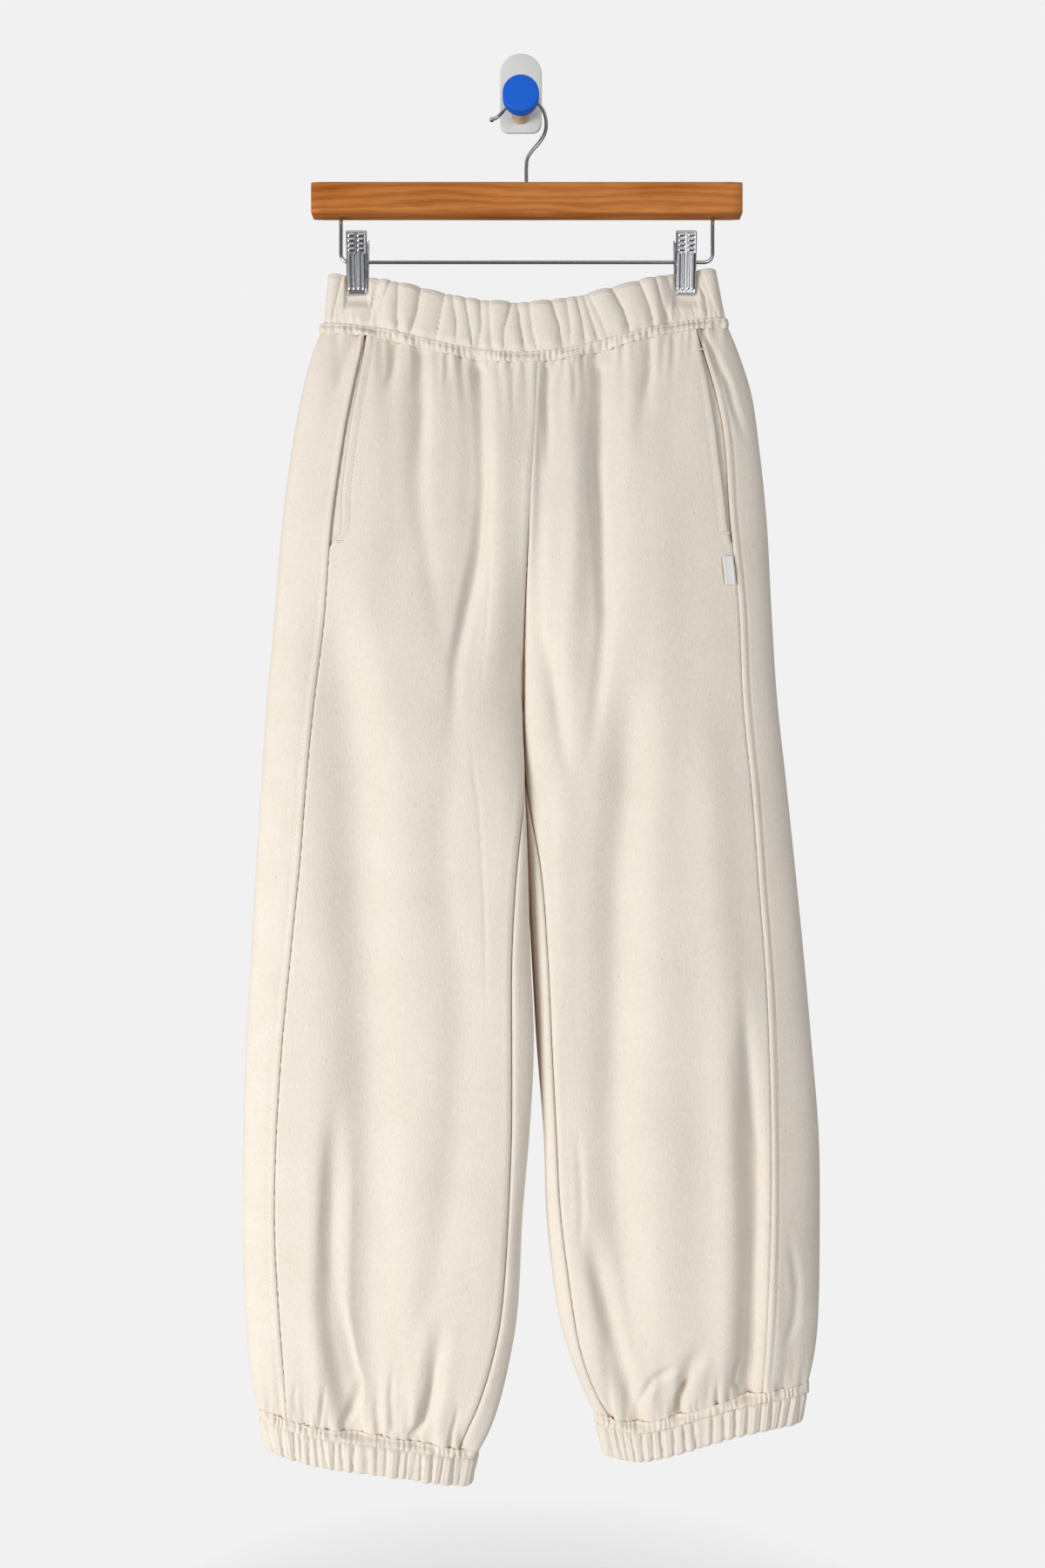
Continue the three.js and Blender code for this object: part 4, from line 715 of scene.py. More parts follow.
def knob_material():
    return grained("knob paint", (0.008, 0.12, 0.66), 0.45, EVEN, (420, 3, 0.6), (0.08, 0.0003),
                   ((0.006, 0.115, 0.62), (0.01, 0.13, 0.7)), Specular_IOR_Level=0.25)[0]


def plate_material():
    return grained("plate plastic", (0.63, 0.63, 0.63), 0.5, EVEN, (900, 3, 0.6), (0.06, 0.0003),
                   ((0.7, 0.7, 0.7), (0.76, 0.76, 0.76)))[0]


def metal_material(name, color, roughness):
    """Polished metal: a scuff darkens it a little and changes its roughness."""
    scuffed = tuple(c * 0.9 for c in color)
    material, tree, shader, scuff = grained(
        name, color, roughness, EVEN, (600, 4, 0.6), (0.05, 0.0002), (scuffed, color), Metallic=1.0)
    rough = node(tree, "ShaderNodeMapRange")
    rough.inputs["To Min"].default_value = roughness * 0.7
    rough.inputs["To Max"].default_value = roughness * 1.4
    tree.links.new(scuff, rough.inputs["Value"])
    tree.links.new(rough.outputs["Result"], shader.inputs["Roughness"])
    return material


# Camera, first of all
def make_camera():
    data = bpy.data.cameras.new("photo camera")
    data.lens = CAMERA_LENS
    data.sensor_width = 36
    camera = bpy.data.objects.new("photo camera", data)
    camera.location = CAMERA_PLACE
    camera.rotation_euler = (math.pi / 2, 0, 0)
    bpy.context.scene.collection.objects.link(camera)
    bpy.context.scene.camera = camera


def area_light(name, place, aim, size, watts, color=WHITE):
    data = bpy.data.lights.new(name, "AREA")
    data.shape = "RECTANGLE"
    data.size, data.size_y = size
    data.energy = watts
    data.color = color
    light = bpy.data.objects.new(name, data)
    light.location = place
    light.rotation_euler = (Vector(aim) - Vector(place)).to_track_quat("-Z", "Y").to_euler()
    bpy.context.scene.collection.objects.link(light)
    return light


def greys(*stops):
    return [(place, (shade, shade, shade)) for place, shade in stops]


def shader_choice(tree, ray, otherwise, where):
    """One shader for the rays of a kind, and another for the rest."""
    choice = node(tree, "ShaderNodeMixShader")
    for output, socket in ((ray, 0), (otherwise, 1), (where, 2)):
        tree.links.new(output, choice.inputs[socket])
    return choice.outputs["Shader"]


def make_light():
    scene = bpy.context.scene
    scene.view_settings.view_transform = "Standard"
    world = bpy.data.worlds.new("studio")
    scene.world = world
    world.use_nodes = True
    tree = world.node_tree
    tree.nodes.clear()
    seen, lit, mirrored = (node(tree, "ShaderNodeBackground", Strength=share) for share in (1.0, 0.41, 0.9))
    seen.inputs["Color"].default_value = (0.88, 0.88, 0.88, 1)
    coordinates = node(tree, "ShaderNodeTexCoord")
    split = node(tree, "ShaderNodeSeparateXYZ")
    tree.links.new(coordinates.outputs["Generated"], split.inputs["Vector"])
    sides = ramp(tree, split.outputs["X"], greys((0.0, 0.85), (0.5, 0.8), (1.0, 0.6)))
    heights = node(tree, "ShaderNodeMapRange")
    heights.inputs["From Min"].default_value = -1
    tree.links.new(split.outputs["Z"], heights.inputs["Value"])
    skies = ramp(tree, heights.outputs["Result"], greys((0.0, 0.8), (0.5, 0.86), (1.0, 0.96)))
    tree.links.new(blend(tree, 1.0, sides, skies, "MULTIPLY"), lit.inputs["Color"])
    room = ramp(tree, split.outputs["Z"], [
        (0.0, (0.12, 0.12, 0.13)), (0.12, (0.3, 0.3, 0.31)), (0.3, (0.06, 0.06, 0.07)),
        (0.6, (0.8, 0.8, 0.8))])
    tree.links.new(room, mirrored.inputs["Color"])
    path = node(tree, "ShaderNodeLightPath")
    seen, lit, mirrored = (made.outputs["Background"] for made in (seen, lit, mirrored))
    glossy = shader_choice(tree, path.outputs["Is Glossy Ray"], lit, mirrored)
    out = node(tree, "ShaderNodeOutputWorld")
    tree.links.new(shader_choice(tree, path.outputs["Is Camera Ray"], glossy, seen), out.inputs["Surface"])
    area_light("key", (-2.15, -1.75, -1.05), (0, 0, -0.85), (1.1, 1.4), 64, (1, 0.985, 0.965))
    back = area_light("back", (1.2, 2.6, -0.3), (0, 0, -0.6), (1.8, 1.8), 34)
    back.visible_glossy = False
    area_light("front", (1.3, -2.6, -0.6), (0, 0, -0.6), (1.6, 1.6), 23)


def make_floor():
    """A round floor below, for a soft shadow that fades out to all sides."""
    rings, spokes, reach = 24, 96, 1100
    lengths = reach * np.arange(1, rings + 1)[:, None] / rings
    turns = math.tau * np.arange(spokes)[None, :] / spokes
    spots = stacked(lengths * np.cos(turns), lengths * np.sin(turns), FLOOR_LEVEL)
    vertices = np.concatenate([[(0, 0, FLOOR_LEVEL)], spots.reshape(-1, 3)])
    material, tree, shader = principled("floor", (0.95, 0.95, 0.95), 0.8)
    length = node(tree, "ShaderNodeVectorMath", operation="LENGTH")
    tree.links.new(stretched(tree, (1, 1, 0)), length.inputs[0])
    fade = ramp(tree, length.outputs["Value"], [(0.05, WHITE), (0.5, BLACK)])
    tree.links.new(fade, shader.inputs["Alpha"])
    mesh = bpy.data.meshes.new("floor")
    mesh.from_pydata((vertices * MM).tolist(), [], fan_faces(rings, spokes))
    mesh.materials.append(material)
    floor = bpy.data.objects.new("floor", mesh)
    bpy.context.scene.collection.objects.link(floor)


# Garment panels
def rows_between(start, end, step):
    return np.linspace(start, end, int(round((end - start) / step)) + 1)[:, None]


PANEL_ROWS = rows_between(WAIST_LEVEL, FOOT_LEVEL, ROW_STEP)


def mouth_open(leg, level):
    drop = real_drop(leg, line_x(leg, "seam", level), level)
    return np.where(drop < 391, at(leg["mouth"], "drop", "open", drop), 0)


def side_angle(leg, level, trim):
    return x_to_angle(section(leg, level), line_x(leg, "seam", level) - leg["out"] * trim)


def inseam_angle(leg, level):
    inner = line_x(leg, "inner", level)
    width = np.maximum(0, (line_x(leg, "inseam", level) - inner) * leg["out"])
    angle = x_to_angle(section(leg, level), inner + leg["out"] * np.maximum(width, LEG_GAP / 2))
    return np.where(level < CROTCH_DROP, 0, np.maximum(0.008, angle))


def column_angles(part, start, end, shares, wide=0.6):
    even = mix(start, end, shares)
    by_width = x_to_angle(part, mix(angle_to_x(part, start), angle_to_x(part, end), shares))
    return mix(even, by_width, wide)


def across(points):
    """Distance along each row from its first column."""
    steps = np.linalg.norm(np.diff(points, axis=1), axis=-1)
    return np.concatenate([np.zeros((len(points), 1)), np.cumsum(steps, axis=1)], axis=1)


def panel_base(leg, angle, level, front, turn):
    """A panel's points with their drops, normals, distances from both side edges and shared relief."""
    points, drop = skin(leg, angle, level, front)
    run = across(points)
    relief = body_relief(leg, points[..., 0], drop, front)
    return points, drop, grid_normals(points, turn), run, run[:, -1:] - run, relief


def dressed(name, points, normals, relief, turn, material, thickness=CLOTH):
    """A panel's shell on its points moved out by their relief, with its outer grid and normals."""
    outer = points + normals * relief[..., None]
    fine = grid_normals(outer, turn)
    return shell(name, outer, fine, thickness, material, turn), outer, fine


def turned_seam(normals, drop, run):
    """Relief at the centre seam or inseam: the edge turns in, with puckers beside it."""
    dip = SEAM_DIP * np.exp(-(run / 1.3) ** 2) - 0.35 * np.exp(-((run - 4.5) / 2.5) ** 2)
    return np.abs(normals[..., 1]) * (pucker(drop, run) - dip)


def stitch_groove(distance, place, depth):
    """Groove that a row of stitches draws into the cloth."""
    return depth * np.exp(-((distance - place) / 1.0) ** 2)


def front_panel(leg, material):
    level = PANEL_ROWS
    turn = -leg["out"]
    open_by = mouth_open(leg, level)
    tuck = np.where(open_by > 0.5, 0, 2.5)
    start = inseam_angle(leg, level) + 0.003
    end = side_angle(leg, level, open_by - tuck + 0.1)
    angle = column_angles(section(leg, level), start, end, np.linspace(0, 1, 101)[None, :])
    points, drop, normals, run, from_side, relief = panel_base(leg, angle, level, 1, turn)
    relief *= smooth(np.abs(normals[..., 1]) * 1.7)
    relief *= mix(smooth((run + 1.5) / 8), 1, smooth((level - CROTCH_DROP - 5) / 40))
    relief += turned_seam(normals, drop, run)
    # side seam: this panel lies under the side panel's folded edge
    tucked = (tuck > 0) * 1.0
    relief -= tucked * TUCK_DIP * smooth((3.7 - from_side) / 3.3)
    relief += tucked * pucker(drop, from_side - 3, 9, 0.16)
    # pocket mouth: thick folded edge with a row of stitches beside it
    edge = 0.45 * smooth((9 - from_side) / 6) - stitch_groove(from_side, MOUTH_STITCH, 0.5)
    relief += (1 - tucked) * (edge + pucker(drop, from_side, 8, 0.2))
    return dressed(f"front_{leg['name']}", points, normals, relief, turn, material)


def side_panel(leg, material):
    level = PANEL_ROWS
    turn = -leg["out"]
    even = np.linspace(0, 1, 49)[None, :]
    # closer columns beside both edges, for the row of stitches
    shares = even - 0.62 * np.sin(math.tau * even) / math.tau
    start = side_angle(leg, level, -0.1)
    angle = mix(start, math.tau - start, shares)
    front = np.where(angle <= math.pi, 1, -1)
    points, drop, normals, run, back_run, relief = panel_base(leg, angle, level, front, turn)
    relief *= smooth(np.abs(np.sin(angle)) * 4)
    for distance in (run, back_run):
        relief += 0.7 * smooth((8.6 - distance) / 4) - stitch_groove(distance, FOLD_STITCH, 1.0)
        relief += pucker(drop + 3, distance, 10, 0.24)
        relief -= FOLD_DIP * np.exp(-(distance / 1.2) ** 2)
    return dressed(f"side_{leg['name']}", points, normals, relief, turn, material)


def back_panel(leg, material):
    level = PANEL_ROWS
    turn = leg["out"]
    start = np.where(level < CROTCH_DROP, -1e-4, inseam_angle(leg, level) - 0.003)
    wrap = mix(0.1, 0.5, smooth((level - CROTCH_DROP + 20) / 60))
    near = mix(start, -wrap, np.linspace(0, 1, 21)[None, :-1])
    end = side_angle(leg, level, -2.4)
    far = -column_angles(section(leg, level), wrap, end, np.linspace(0, 1, 91)[None, :])
    angle = np.concatenate([near, far], axis=1)
    front = np.where(angle > 0, 1, -1)
    points, drop, normals, run, from_side, relief = panel_base(leg, angle, level, front, turn)
    relief *= mix(1, smooth(np.abs(angle) * 3), smooth((level - CROTCH_DROP + 40) / 60))
    relief += turned_seam(normals, drop, run)
    relief -= TUCK_DIP * smooth((3.7 - from_side) / 3.3)
    return dressed(f"back_{leg['name']}", points, normals, relief, turn, material)


def pocket_facing(leg, material):
    level = rows_between(FACING_TOP, FACING_FOOT, 3)
    near = side_angle(leg, level, mouth_open(leg, level) + 8)
    angle = mix(near, side_angle(leg, level, -9), np.linspace(0, 1, 15)[None, :])
    points, drop, normals, run, _, relief = panel_base(leg, angle, level, 1, -leg["out"])
    relief -= 1.85 + pucker(drop, run, 30, 0.08)
    return dressed(f"facing_{leg['name']}", points, normals, relief, -leg["out"], material)[0]


# Waistband
def clip_distance(x):
    offs = [np.abs(x - centre) - CLIP_WIDTH / 2 - 1 for centre in CLIP_CENTRES]
    return np.minimum(*offs)


def band_ring(columns):
    """Angles round the waistband: front from left to right, then the back."""
    share = np.arange(columns // 2) / (columns // 2)
    half = 0.35 * math.pi * share + 0.65 * np.arccos(1 - 2 * share)
    return np.concatenate([half - math.pi, half])[None, :]


def band_x(angle, t):
    left = BAND_LEFT + mix(2, -2, t)
    right = BAND_RIGHT + mix(-4.5, 4.5, t)
    return mix(left, right, (1 - np.cos(angle)) / 2)


def band_rise(angle, t):
    """Height of the gathers, from 0 in a deep crease to 1 on a full puff."""
    centre, reach = (BAND_LEFT + BAND_RIGHT) / 2, (BAND_RIGHT - BAND_LEFT) / 2
    rise = np.zeros((len(t), angle.shape[1]))
    local = np.random.default_rng(5)
    count = len(BAND_CREASES["dip"])
    heights = local.uniform(0.72, 1.08, 2 * count)
    back_shift = local.uniform(-3, 3, count)
    for i, share in enumerate(t[:, 0]):
        top, mid, foot = (BAND_CREASES[name] for name in ("top", "mid", "foot"))
        path = np.where(share < 0.5, mix(top, mid, share * 2), mix(mid, foot, share * 2 - 1))
        back_path = 8 - path * 0.985 + back_shift
        front, back = (side * np.arccos(-np.clip((x - centre) / reach, -0.999, 0.999))
                       for side, x in ((1, path), (-1, back_path)))
        stops = np.concatenate([back, front])
        dips = np.concatenate([np.roll(BAND_CREASES["dip"], 5), BAND_CREASES["dip"]])
        order = np.argsort(stops)
        stops, dips, tall = stops[order], dips[order], heights[order]
        stops = np.concatenate([stops, [stops[0] + math.tau]])
        dips = np.append(dips, dips[0])
        turn = np.where(angle[0] < stops[0], angle[0] + math.tau, angle[0])
        k = np.clip(np.searchsorted(stops, turn, side="right") - 1, 0, len(tall) - 1)
        f = np.clip((turn - stops[k]) / (stops[k + 1] - stops[k]), 0, 1)
        puff = np.sin(math.pi * f) ** 0.45
        width = (stops[k + 1] - stops[k]) * reach * np.maximum(np.abs(np.sin(turn)), 0.35)
        full = tall[k] * np.clip(width / 13, 0.45, 1.05)
        rise[i] = mix(1 - mix(dips[k], dips[k + 1], f), 1, puff) * full
    return rise


def waistband(material):
    angle = band_ring(800)
    roll = 2.3
    start = 0.06
    t_rows = np.linspace(0, 1, 46)
    t = t_rows[:, None]
    rise = band_rise(angle, t)
    ripple_turn = angle * 74 + 0.9 * np.sin(angle * 9) + 0.5 * np.sin(angle * 23)

    def ring(t_value, rise_row, inset, lift):
        x = band_x(angle, t_value)
        c = -np.cos(angle)
        thick = body_round(c)
        side = np.where(np.sin(angle) >= 0, 1, -1)
        off = np.maximum(0, clip_distance(x)) / PINCH_REACH
        under = smooth((mix(band_top(x), waist_seam(x), t_value) - 182) / 10)
        calm = np.maximum(smooth((clip_distance(x) + 1) / 3), 0.75 * under)
        depth = mix(BAND_PINCH, BAND_DEPTH, np.maximum(smooth(off), 0.35 * under))
        edge = smooth(t_value / 0.12) * smooth((0.95 - t_value) / 0.16)
        gathers = 0.42 * np.sin(ripple_turn) * smooth((t_value - 0.55) / 0.4)
        swell = (BAND_BULGE * rise_row * mix(0.3, 1, edge) + gathers) * calm * np.minimum(1, thick * 1.5)
        half = np.maximum(0.5, (depth - inset) * thick + swell * (1 if inset <= roll else 0.35))
        drop_top = band_top(x) + 1.6 * (1 - rise_row) * calm
        drop = mix(drop_top, waist_seam(x) - 0.6, t_value) - lift
        return stacked(x - c * inset, BAND_Y - side * half, -drop)

    # up the inside, over the rolled top edge and down the outside
    rows = [ring(value, rise[int(round(value * 45))], 2 * roll, 0) for value in np.linspace(1, start, 14)]
    for turn in np.linspace(math.pi, 0, 11)[:-1]:
        rows.append(ring(start, rise[2], roll * (1 - math.cos(turn)), roll * math.sin(turn)))
    rows += [ring(value, row, 0, 0) for value, row in zip(t_rows, rise) if value >= start]
    points = np.concatenate(rows)
    faces = loop_faces(*points.shape[:2])
    return new_object("waistband_cloth", points, faces, material), points


def outline(points, middle, side):
    """Depth of the garment's outside by X, on its front or its back, from points near a seam."""
    depth = side * (middle - points[:, 1])
    x, depth = points[depth > 0.4, 0], depth[depth > 0.4]
    places = np.arange(x.min(), x.max() + 1.4, 1.4)
    tops = np.array([depth[np.abs(x - place) < 2.2].max(initial=0) for place in places])
    tops = np.interp(places, places[tops > 0], tops[tops > 0])
    for _ in range(2):
        tops = np.convolve(np.pad(tops, 1, mode="edge"), [0.25, 0.5, 0.25], mode="valid")
    return places, tops


def gathered_strip(name, material, x, share, angle, above, below, middle, seam, up, down, gathers, seed):
    """Narrow gathered seam strip round the garment, with a groove for each of its two stitch rows."""
    t = np.linspace(0, 1, 11)[:, None]
    side = np.where(np.sin(angle) >= 0, 1, -1)
    halves = []
    for near in (above, below):
        front, back = outline(near, middle, 1), outline(near, middle, -1)
        halves.append(np.where(side > 0, np.interp(x, *front), np.interp(x, *back)))
    half = mix(halves[0], halves[1], smooth((t - 0.15) / 0.7))
    half = half * np.minimum(1, np.abs(np.sin(angle)) / 0.14) ** 0.7
    wander = 1.3 * np.sin(share * 41 + seed) + 0.9 * np.sin(share * 67 + 2 * seed)
    phase = math.tau * gathers * share + wander * (1 + 0.4 * side * np.sin(math.pi * share))
    bead = (0.5 + 0.5 * np.cos(phase)) ** 0.7
    size = 0.8 + 0.35 * np.sin(share * 53 + 3 * seed)
    across_strip = np.sin(math.pi * t) ** 0.5
    groove = np.exp(-((t - 0.24) / 0.1) ** 2) + np.exp(-((t - 0.76) / 0.1) ** 2)
    swell = 0.15 + across_strip * (0.4 + 1.35 * bead * size) - 0.55 * groove * (0.5 + 0.5 * bead)
    c = -np.cos(angle)
    drop = seam + mix(-up, down, t) + 0.4 * np.sin(phase + 0.6) * (2 * t - 1)
    beyond = np.sign(c) * np.abs(c) ** 6
    outer = stacked(x + beyond * (0.4 + swell), middle - side * (half + swell), -drop)
    inner = stacked(x - beyond * 1.4, middle - side * np.maximum(0.3, half - 1.3), -drop)
    faces = shell_faces(len(t), angle.shape[1], True, 1)
    return new_object(name, np.concatenate([outer, inner]), faces, material), outer


def waist_strip(material, above, below):
    angle = band_ring(1280)
    share = (1 - np.cos(angle)) / 2
    x = mix(-167.4, 172.6, share)
    return gathered_strip(
        "waist_seam", material, x, share, angle, above, below, BAND_Y, waist_seam(x), 4.4, 4.6, 68, 1.0)


def cuff_ring(leg, t):
    """X of a cuff's middle and its half width, at a share of its height from the seam."""
    outer = line_x(leg, "outer", FOOT_LEVEL) - leg["out"] * 5.5 * t
    inner = line_x(leg, "inner", FOOT_LEVEL) + leg["out"] * (LEG_GAP + 5.5 * t)
    return (outer + inner) / 2, np.abs(outer - inner) / 2


def cuff_angles(columns):
    share = np.arange(columns) / columns
    even = np.where(share < 0.5, np.arccos(1 - 4 * share.clip(0, 0.5)), 0)
    even = np.where(share < 0.5, even, math.tau - np.arccos(1 - 4 * (1 - share).clip(0, 0.5)))
    return (0.4 * math.tau * share + 0.6 * even)[None, :]


def cuff(leg, material):
    columns = 520
    local = np.random.default_rng(31 if leg["out"] < 0 else 32)
    gathers = 42
    widths = local.uniform(0.65, 1.35, gathers)
    edges = np.concatenate([[0], np.cumsum(widths)]) / widths.sum()
    dips = local.uniform(0.6, 1.0, gathers)
    slants = local.uniform(-0.008, 0.008, gathers)
    angle = cuff_angles(columns)
    c, s = np.cos(angle), np.sin(angle)
    half_way = (1 - power(c, 2 / LEG_POWER)) / 4
    share = np.where(s >= 0, half_way, 1 - half_way)
    t_rows = np.linspace(0, 1, 24)[:, None]
    moved = (share + np.interp(share, edges[:-1], slants) * (t_rows - 0.5)) % 1
    k = np.clip(np.searchsorted(edges, moved, side="right") - 1, 0, gathers - 1)
    f = (moved - edges[k]) / (edges[k + 1] - edges[k])
    puff = np.sin(math.pi * np.clip(f, 0, 1)) ** 0.5
    rise = mix(1 - mix(dips[k], dips[(k + 1) % gathers], f), 1, puff) * np.clip(widths[k], 0.6, 1.1)
    small = 0.22 * np.sin(share * 600 + 2 * np.sin(share * 70))

    def ring(t, rise_row, inset, lift):
        centre, reach = cuff_ring(leg, t)
        x = centre + (reach - inset) * power(c, 2 / LEG_POWER)
        edge = smooth((t - 0.06) / 0.16) * smooth((1.03 - t) / 0.14)
        swell = (3.4 * rise_row + small) * mix(0.3, 1, edge) * (1 if inset < 2 else 0.3)
        half = (CUFF_DEPTH - inset) * np.abs(s) + swell * np.abs(s) ** 0.5
        near_x = x + np.sign(c) * swell * np.abs(c) ** 8
        drop = at(leg["cuff"], "x", "drop", x) + 1 + t * CUFF_HEIGHT + lift
        drop = drop - 1.3 * (1 - rise_row) * smooth((t - 0.7) / 0.3)
        return stacked(near_x, CUFF_Y - np.sign(s) * half, -drop)

    roll = 1.7
    rows = [ring(t, row[None, :], 0, 0) for t, row in zip(t_rows[:, 0], rise) if t <= 0.95]
    for spin in np.linspace(0, math.pi, 9)[1:]:
        rows.append(ring(0.95, rise[-2][None, :], roll * (1 - math.cos(spin)), roll * math.sin(spin)))
    for t in np.linspace(0.9, 0, 9):
        rows.append(ring(t, rise[int(t * 23)][None, :], 2 * roll, 0))
    points = np.concatenate(rows)
    faces = loop_faces(len(points), columns)[:, ::-1]
    return new_object(f"cuff_{leg['name']}_cloth", points, faces, material), points


def cuff_strip(leg, material, above, below):
    angle = cuff_angles(680)
    centre, reach = cuff_ring(leg, 0.0)
    power_cos = power(np.cos(angle), 2 / LEG_POWER)
    x = centre + (reach + 0.5) * power_cos
    share = (1 - power_cos) / 2
    seam = at(leg["cuff"], "x", "drop", x)
    return gathered_strip(
        f"cuff_seam_{leg['name']}", material, x, share, angle, above, below, CUFF_Y, seam, 4.2, 3.4, 38,
        2.0 + leg["out"])


# Stitches
def stitch_row(points, normals, pitch=3.3, length=2.3, radius=0.3):
    """Vertices and faces of short raised threads along a line on the cloth."""
    steps = np.linalg.norm(np.diff(points, axis=0), axis=1)
    runs = np.concatenate([[0], np.cumsum(steps)])
    count = int(runs[-1] / pitch)
    starts = (np.arange(count) + 0.15) * pitch
    ends = starts + length

    def sample(values, places):
        return np.stack([np.interp(places, runs, values[:, axis]) for axis in range(3)], -1)

    a, b, n = sample(points, starts), sample(points, ends), sample(normals, (starts + ends) / 2)
    beside = unit(np.cross(unit(b - a), n))
    turns = math.pi * (np.arange(4)[:, None] + 0.5) / 2
    belly = radius * (np.cos(turns) * beside[:, None] + (np.sin(turns) * 0.8 + 0.35) * n[:, None])
    rings = [mix(a, b, share)[:, None] + belly for share in (0.25, 0.75)]
    ends = [(end - n * 0.15)[:, None] for end in (a, b)]
    vertices = np.concatenate([ends[0], *rings, ends[1]], axis=1).reshape(-1, 3)
    sides = []
    for spin in range(4):
        after = (spin + 1) % 4
        sides += [(0, 1 + after, 1 + spin), (1 + spin, 1 + after, 5 + after, 5 + spin),
                  (9, 5 + spin, 5 + after)]
    return vertices, [face for k in range(count) for face in shifted(sides, 10 * k)]


def stitches(name, rows, material, **shape):
    vertices, faces = [], []
    for points, normals in rows:
        made, sides = stitch_row(points, normals, **shape)
        faces += shifted(sides, len(vertices))
        vertices += list(made)
    piece = new_object(name, vertices, faces, material)
    return piece


def line_at(outer, normals, distance, start=0, end=None, from_end=False):
    """The line at a distance from a grid's side edge, with its normals."""
    if from_end:
        outer, normals = outer[:, ::-1], normals[:, ::-1]
    run = across(outer)
    picked, turned = [], []
    for row, normal, places in zip(outer[start:end], normals[start:end], run[start:end]):
        picked.append([np.interp(distance, places, row[:, axis]) for axis in range(3)])
        turned.append([np.interp(distance, places, normal[:, axis]) for axis in range(3)])
    return np.array(picked), np.array(turned)


def ring_line(points, row):
    """A row of a ring grid as a closed line, with normals that point away from its middle line."""
    line = np.concatenate([points[row], points[row][:1]])
    step = np.roll(points[row], -1, axis=0) - np.roll(points[row], 1, axis=0)
    normal = unit(stacked(-step[:, 1], step[:, 0], 0))
    outward = points[row] - points[row].mean(axis=0)
    outward[:, 0] *= 0.05
    normal *= np.where((normal * outward).sum(1) < 0, -1, 1)[:, None]
    return line, np.concatenate([normal, normal[:1]])


def bartack(name, outer, normals, x, drop, length, material):
    """Dense bar of thread across a pocket's end, laid on the cloth nearest to a place."""
    off = (outer[..., 0] - x) ** 2 + (outer[..., 2] + drop) ** 2
    row, column = np.unravel_index(np.argmin(off), off.shape)
    place, normal = outer[row, column], normals[row, column]
    along = unit(np.cross(normal, [0, 0, 1]))
    beside = np.cross(normal, along)
    rows = []
    for shift in np.arange(-length / 2, length / 2, 0.5):
        middle = place + along * shift + normal * 0.2
        rows.append((np.array([middle - beside * 1.2, middle + beside * 1.2]), np.array([normal, normal])))
    return stitches(name, rows, material, pitch=2.35, length=2.2, radius=0.34)


# Label
def label(leg, material):
    rows = rows_between(LABEL_TOP, LABEL_FOOT, 1.2)
    shares = np.linspace(0, 1, 12)[None, :]
    x = line_x(leg, "seam", rows) - LABEL_REACH + shares * LABEL_WIDTH
    angle = x_to_angle(section(leg, rows), x)
    points, _ = skin(leg, angle, rows, 1)
    curl = 1.6 + 1.1 * (1 - shares) ** 2 + 0.25 * np.sin(rows / 3.4)
    turn = -leg["out"]
    return dressed("label_tape", points, grid_normals(points, turn), curl, turn, material, 0.5)[0]


# Hanger and wall hook
def arc(a, b, radius, start, end, steps):
    """Points of an arc about a, b from one angle to another, both in quarter turns."""
    turns = np.linspace(start, end, steps + 1) * math.pi / 2
    return [(a + radius * math.cos(turn), b + radius * math.sin(turn)) for turn in turns]


def tube(name, points, radius, material, sides=14, ball=None):
    """Round wire through points of one XZ plane, with rounded ends and a ball where it has one."""
    points = np.array(points, float)
    tangents = unit(np.gradient(points, axis=0))
    side = np.array([0.0, 1.0, 0.0])
    turns = math.tau * np.arange(sides)[:, None] / sides

    def ring(point, tangent, size):
        return point + size * (np.cos(turns) * side + np.sin(turns) * np.cross(tangent, side))

    rings = [ring(point, tangent, radius) for point, tangent in zip(points, tangents)]
    for sign, end in ((-1, 0), (1, -1)):
        cap = []
        for spin in (0.25 * math.pi, 0.45 * math.pi):
            beyond = sign * tangents[end] * radius * 0.6 * math.sin(spin)
            cap.append(ring(points[end] + beyond, tangents[end], radius * math.cos(spin)))
        rings = cap[::-1] + rings if sign < 0 else rings + cap
    vertices = np.concatenate(rings)
    faces = capped_faces(len(rings), sides, -1)
    if ball is not None:
        spots, ball_faces = sphere(*ball, 18, 12)
        faces += shifted(ball_faces, len(vertices))
        vertices = np.concatenate([vertices, spots])
    return new_object(name, vertices, faces, material)


def sphere(centre, radius, spokes, rings):
    lean = math.pi * np.arange(1, rings)[:, None] / rings
    turn = math.tau * np.arange(spokes)[None, :] / spokes
    around = stacked(np.sin(lean) * np.cos(turn), np.sin(lean) * np.sin(turn), np.cos(lean))
    around = np.concatenate([[(0, 0, 1)], around.reshape(-1, 3), [(0, 0, -1)]])
    spots = np.array(centre) + radius * around
    last = len(spots) - 1
    base = last - spokes
    end = [(last, base + (k + 1) % spokes, base + k) for k in range(spokes)]
    return spots, fan_faces(rings - 1, spokes) + end


def curve_through(spots, steps):
    """Smooth curve through points of the XZ plane at the hanger's depth."""
    spots = np.array(spots, float)
    padded = np.concatenate([[2 * spots[0] - spots[1]], spots, [2 * spots[-1] - spots[-2]]])
    out = []
    for i in range(len(spots) - 1):
        p0, p1, p2, p3 = padded[i: i + 4]
        for t in np.arange(steps) / steps:
            out.append(0.5 * (2 * p1 + (p2 - p0) * t + (2 * p0 - 5 * p1 + 4 * p2 - p3) * t ** 2
                              + (3 * p1 - p0 - 3 * p2 + p3) * t ** 3))
    out.append(spots[-1])
    return [(x, HANGER_Y, z) for x, z in out]


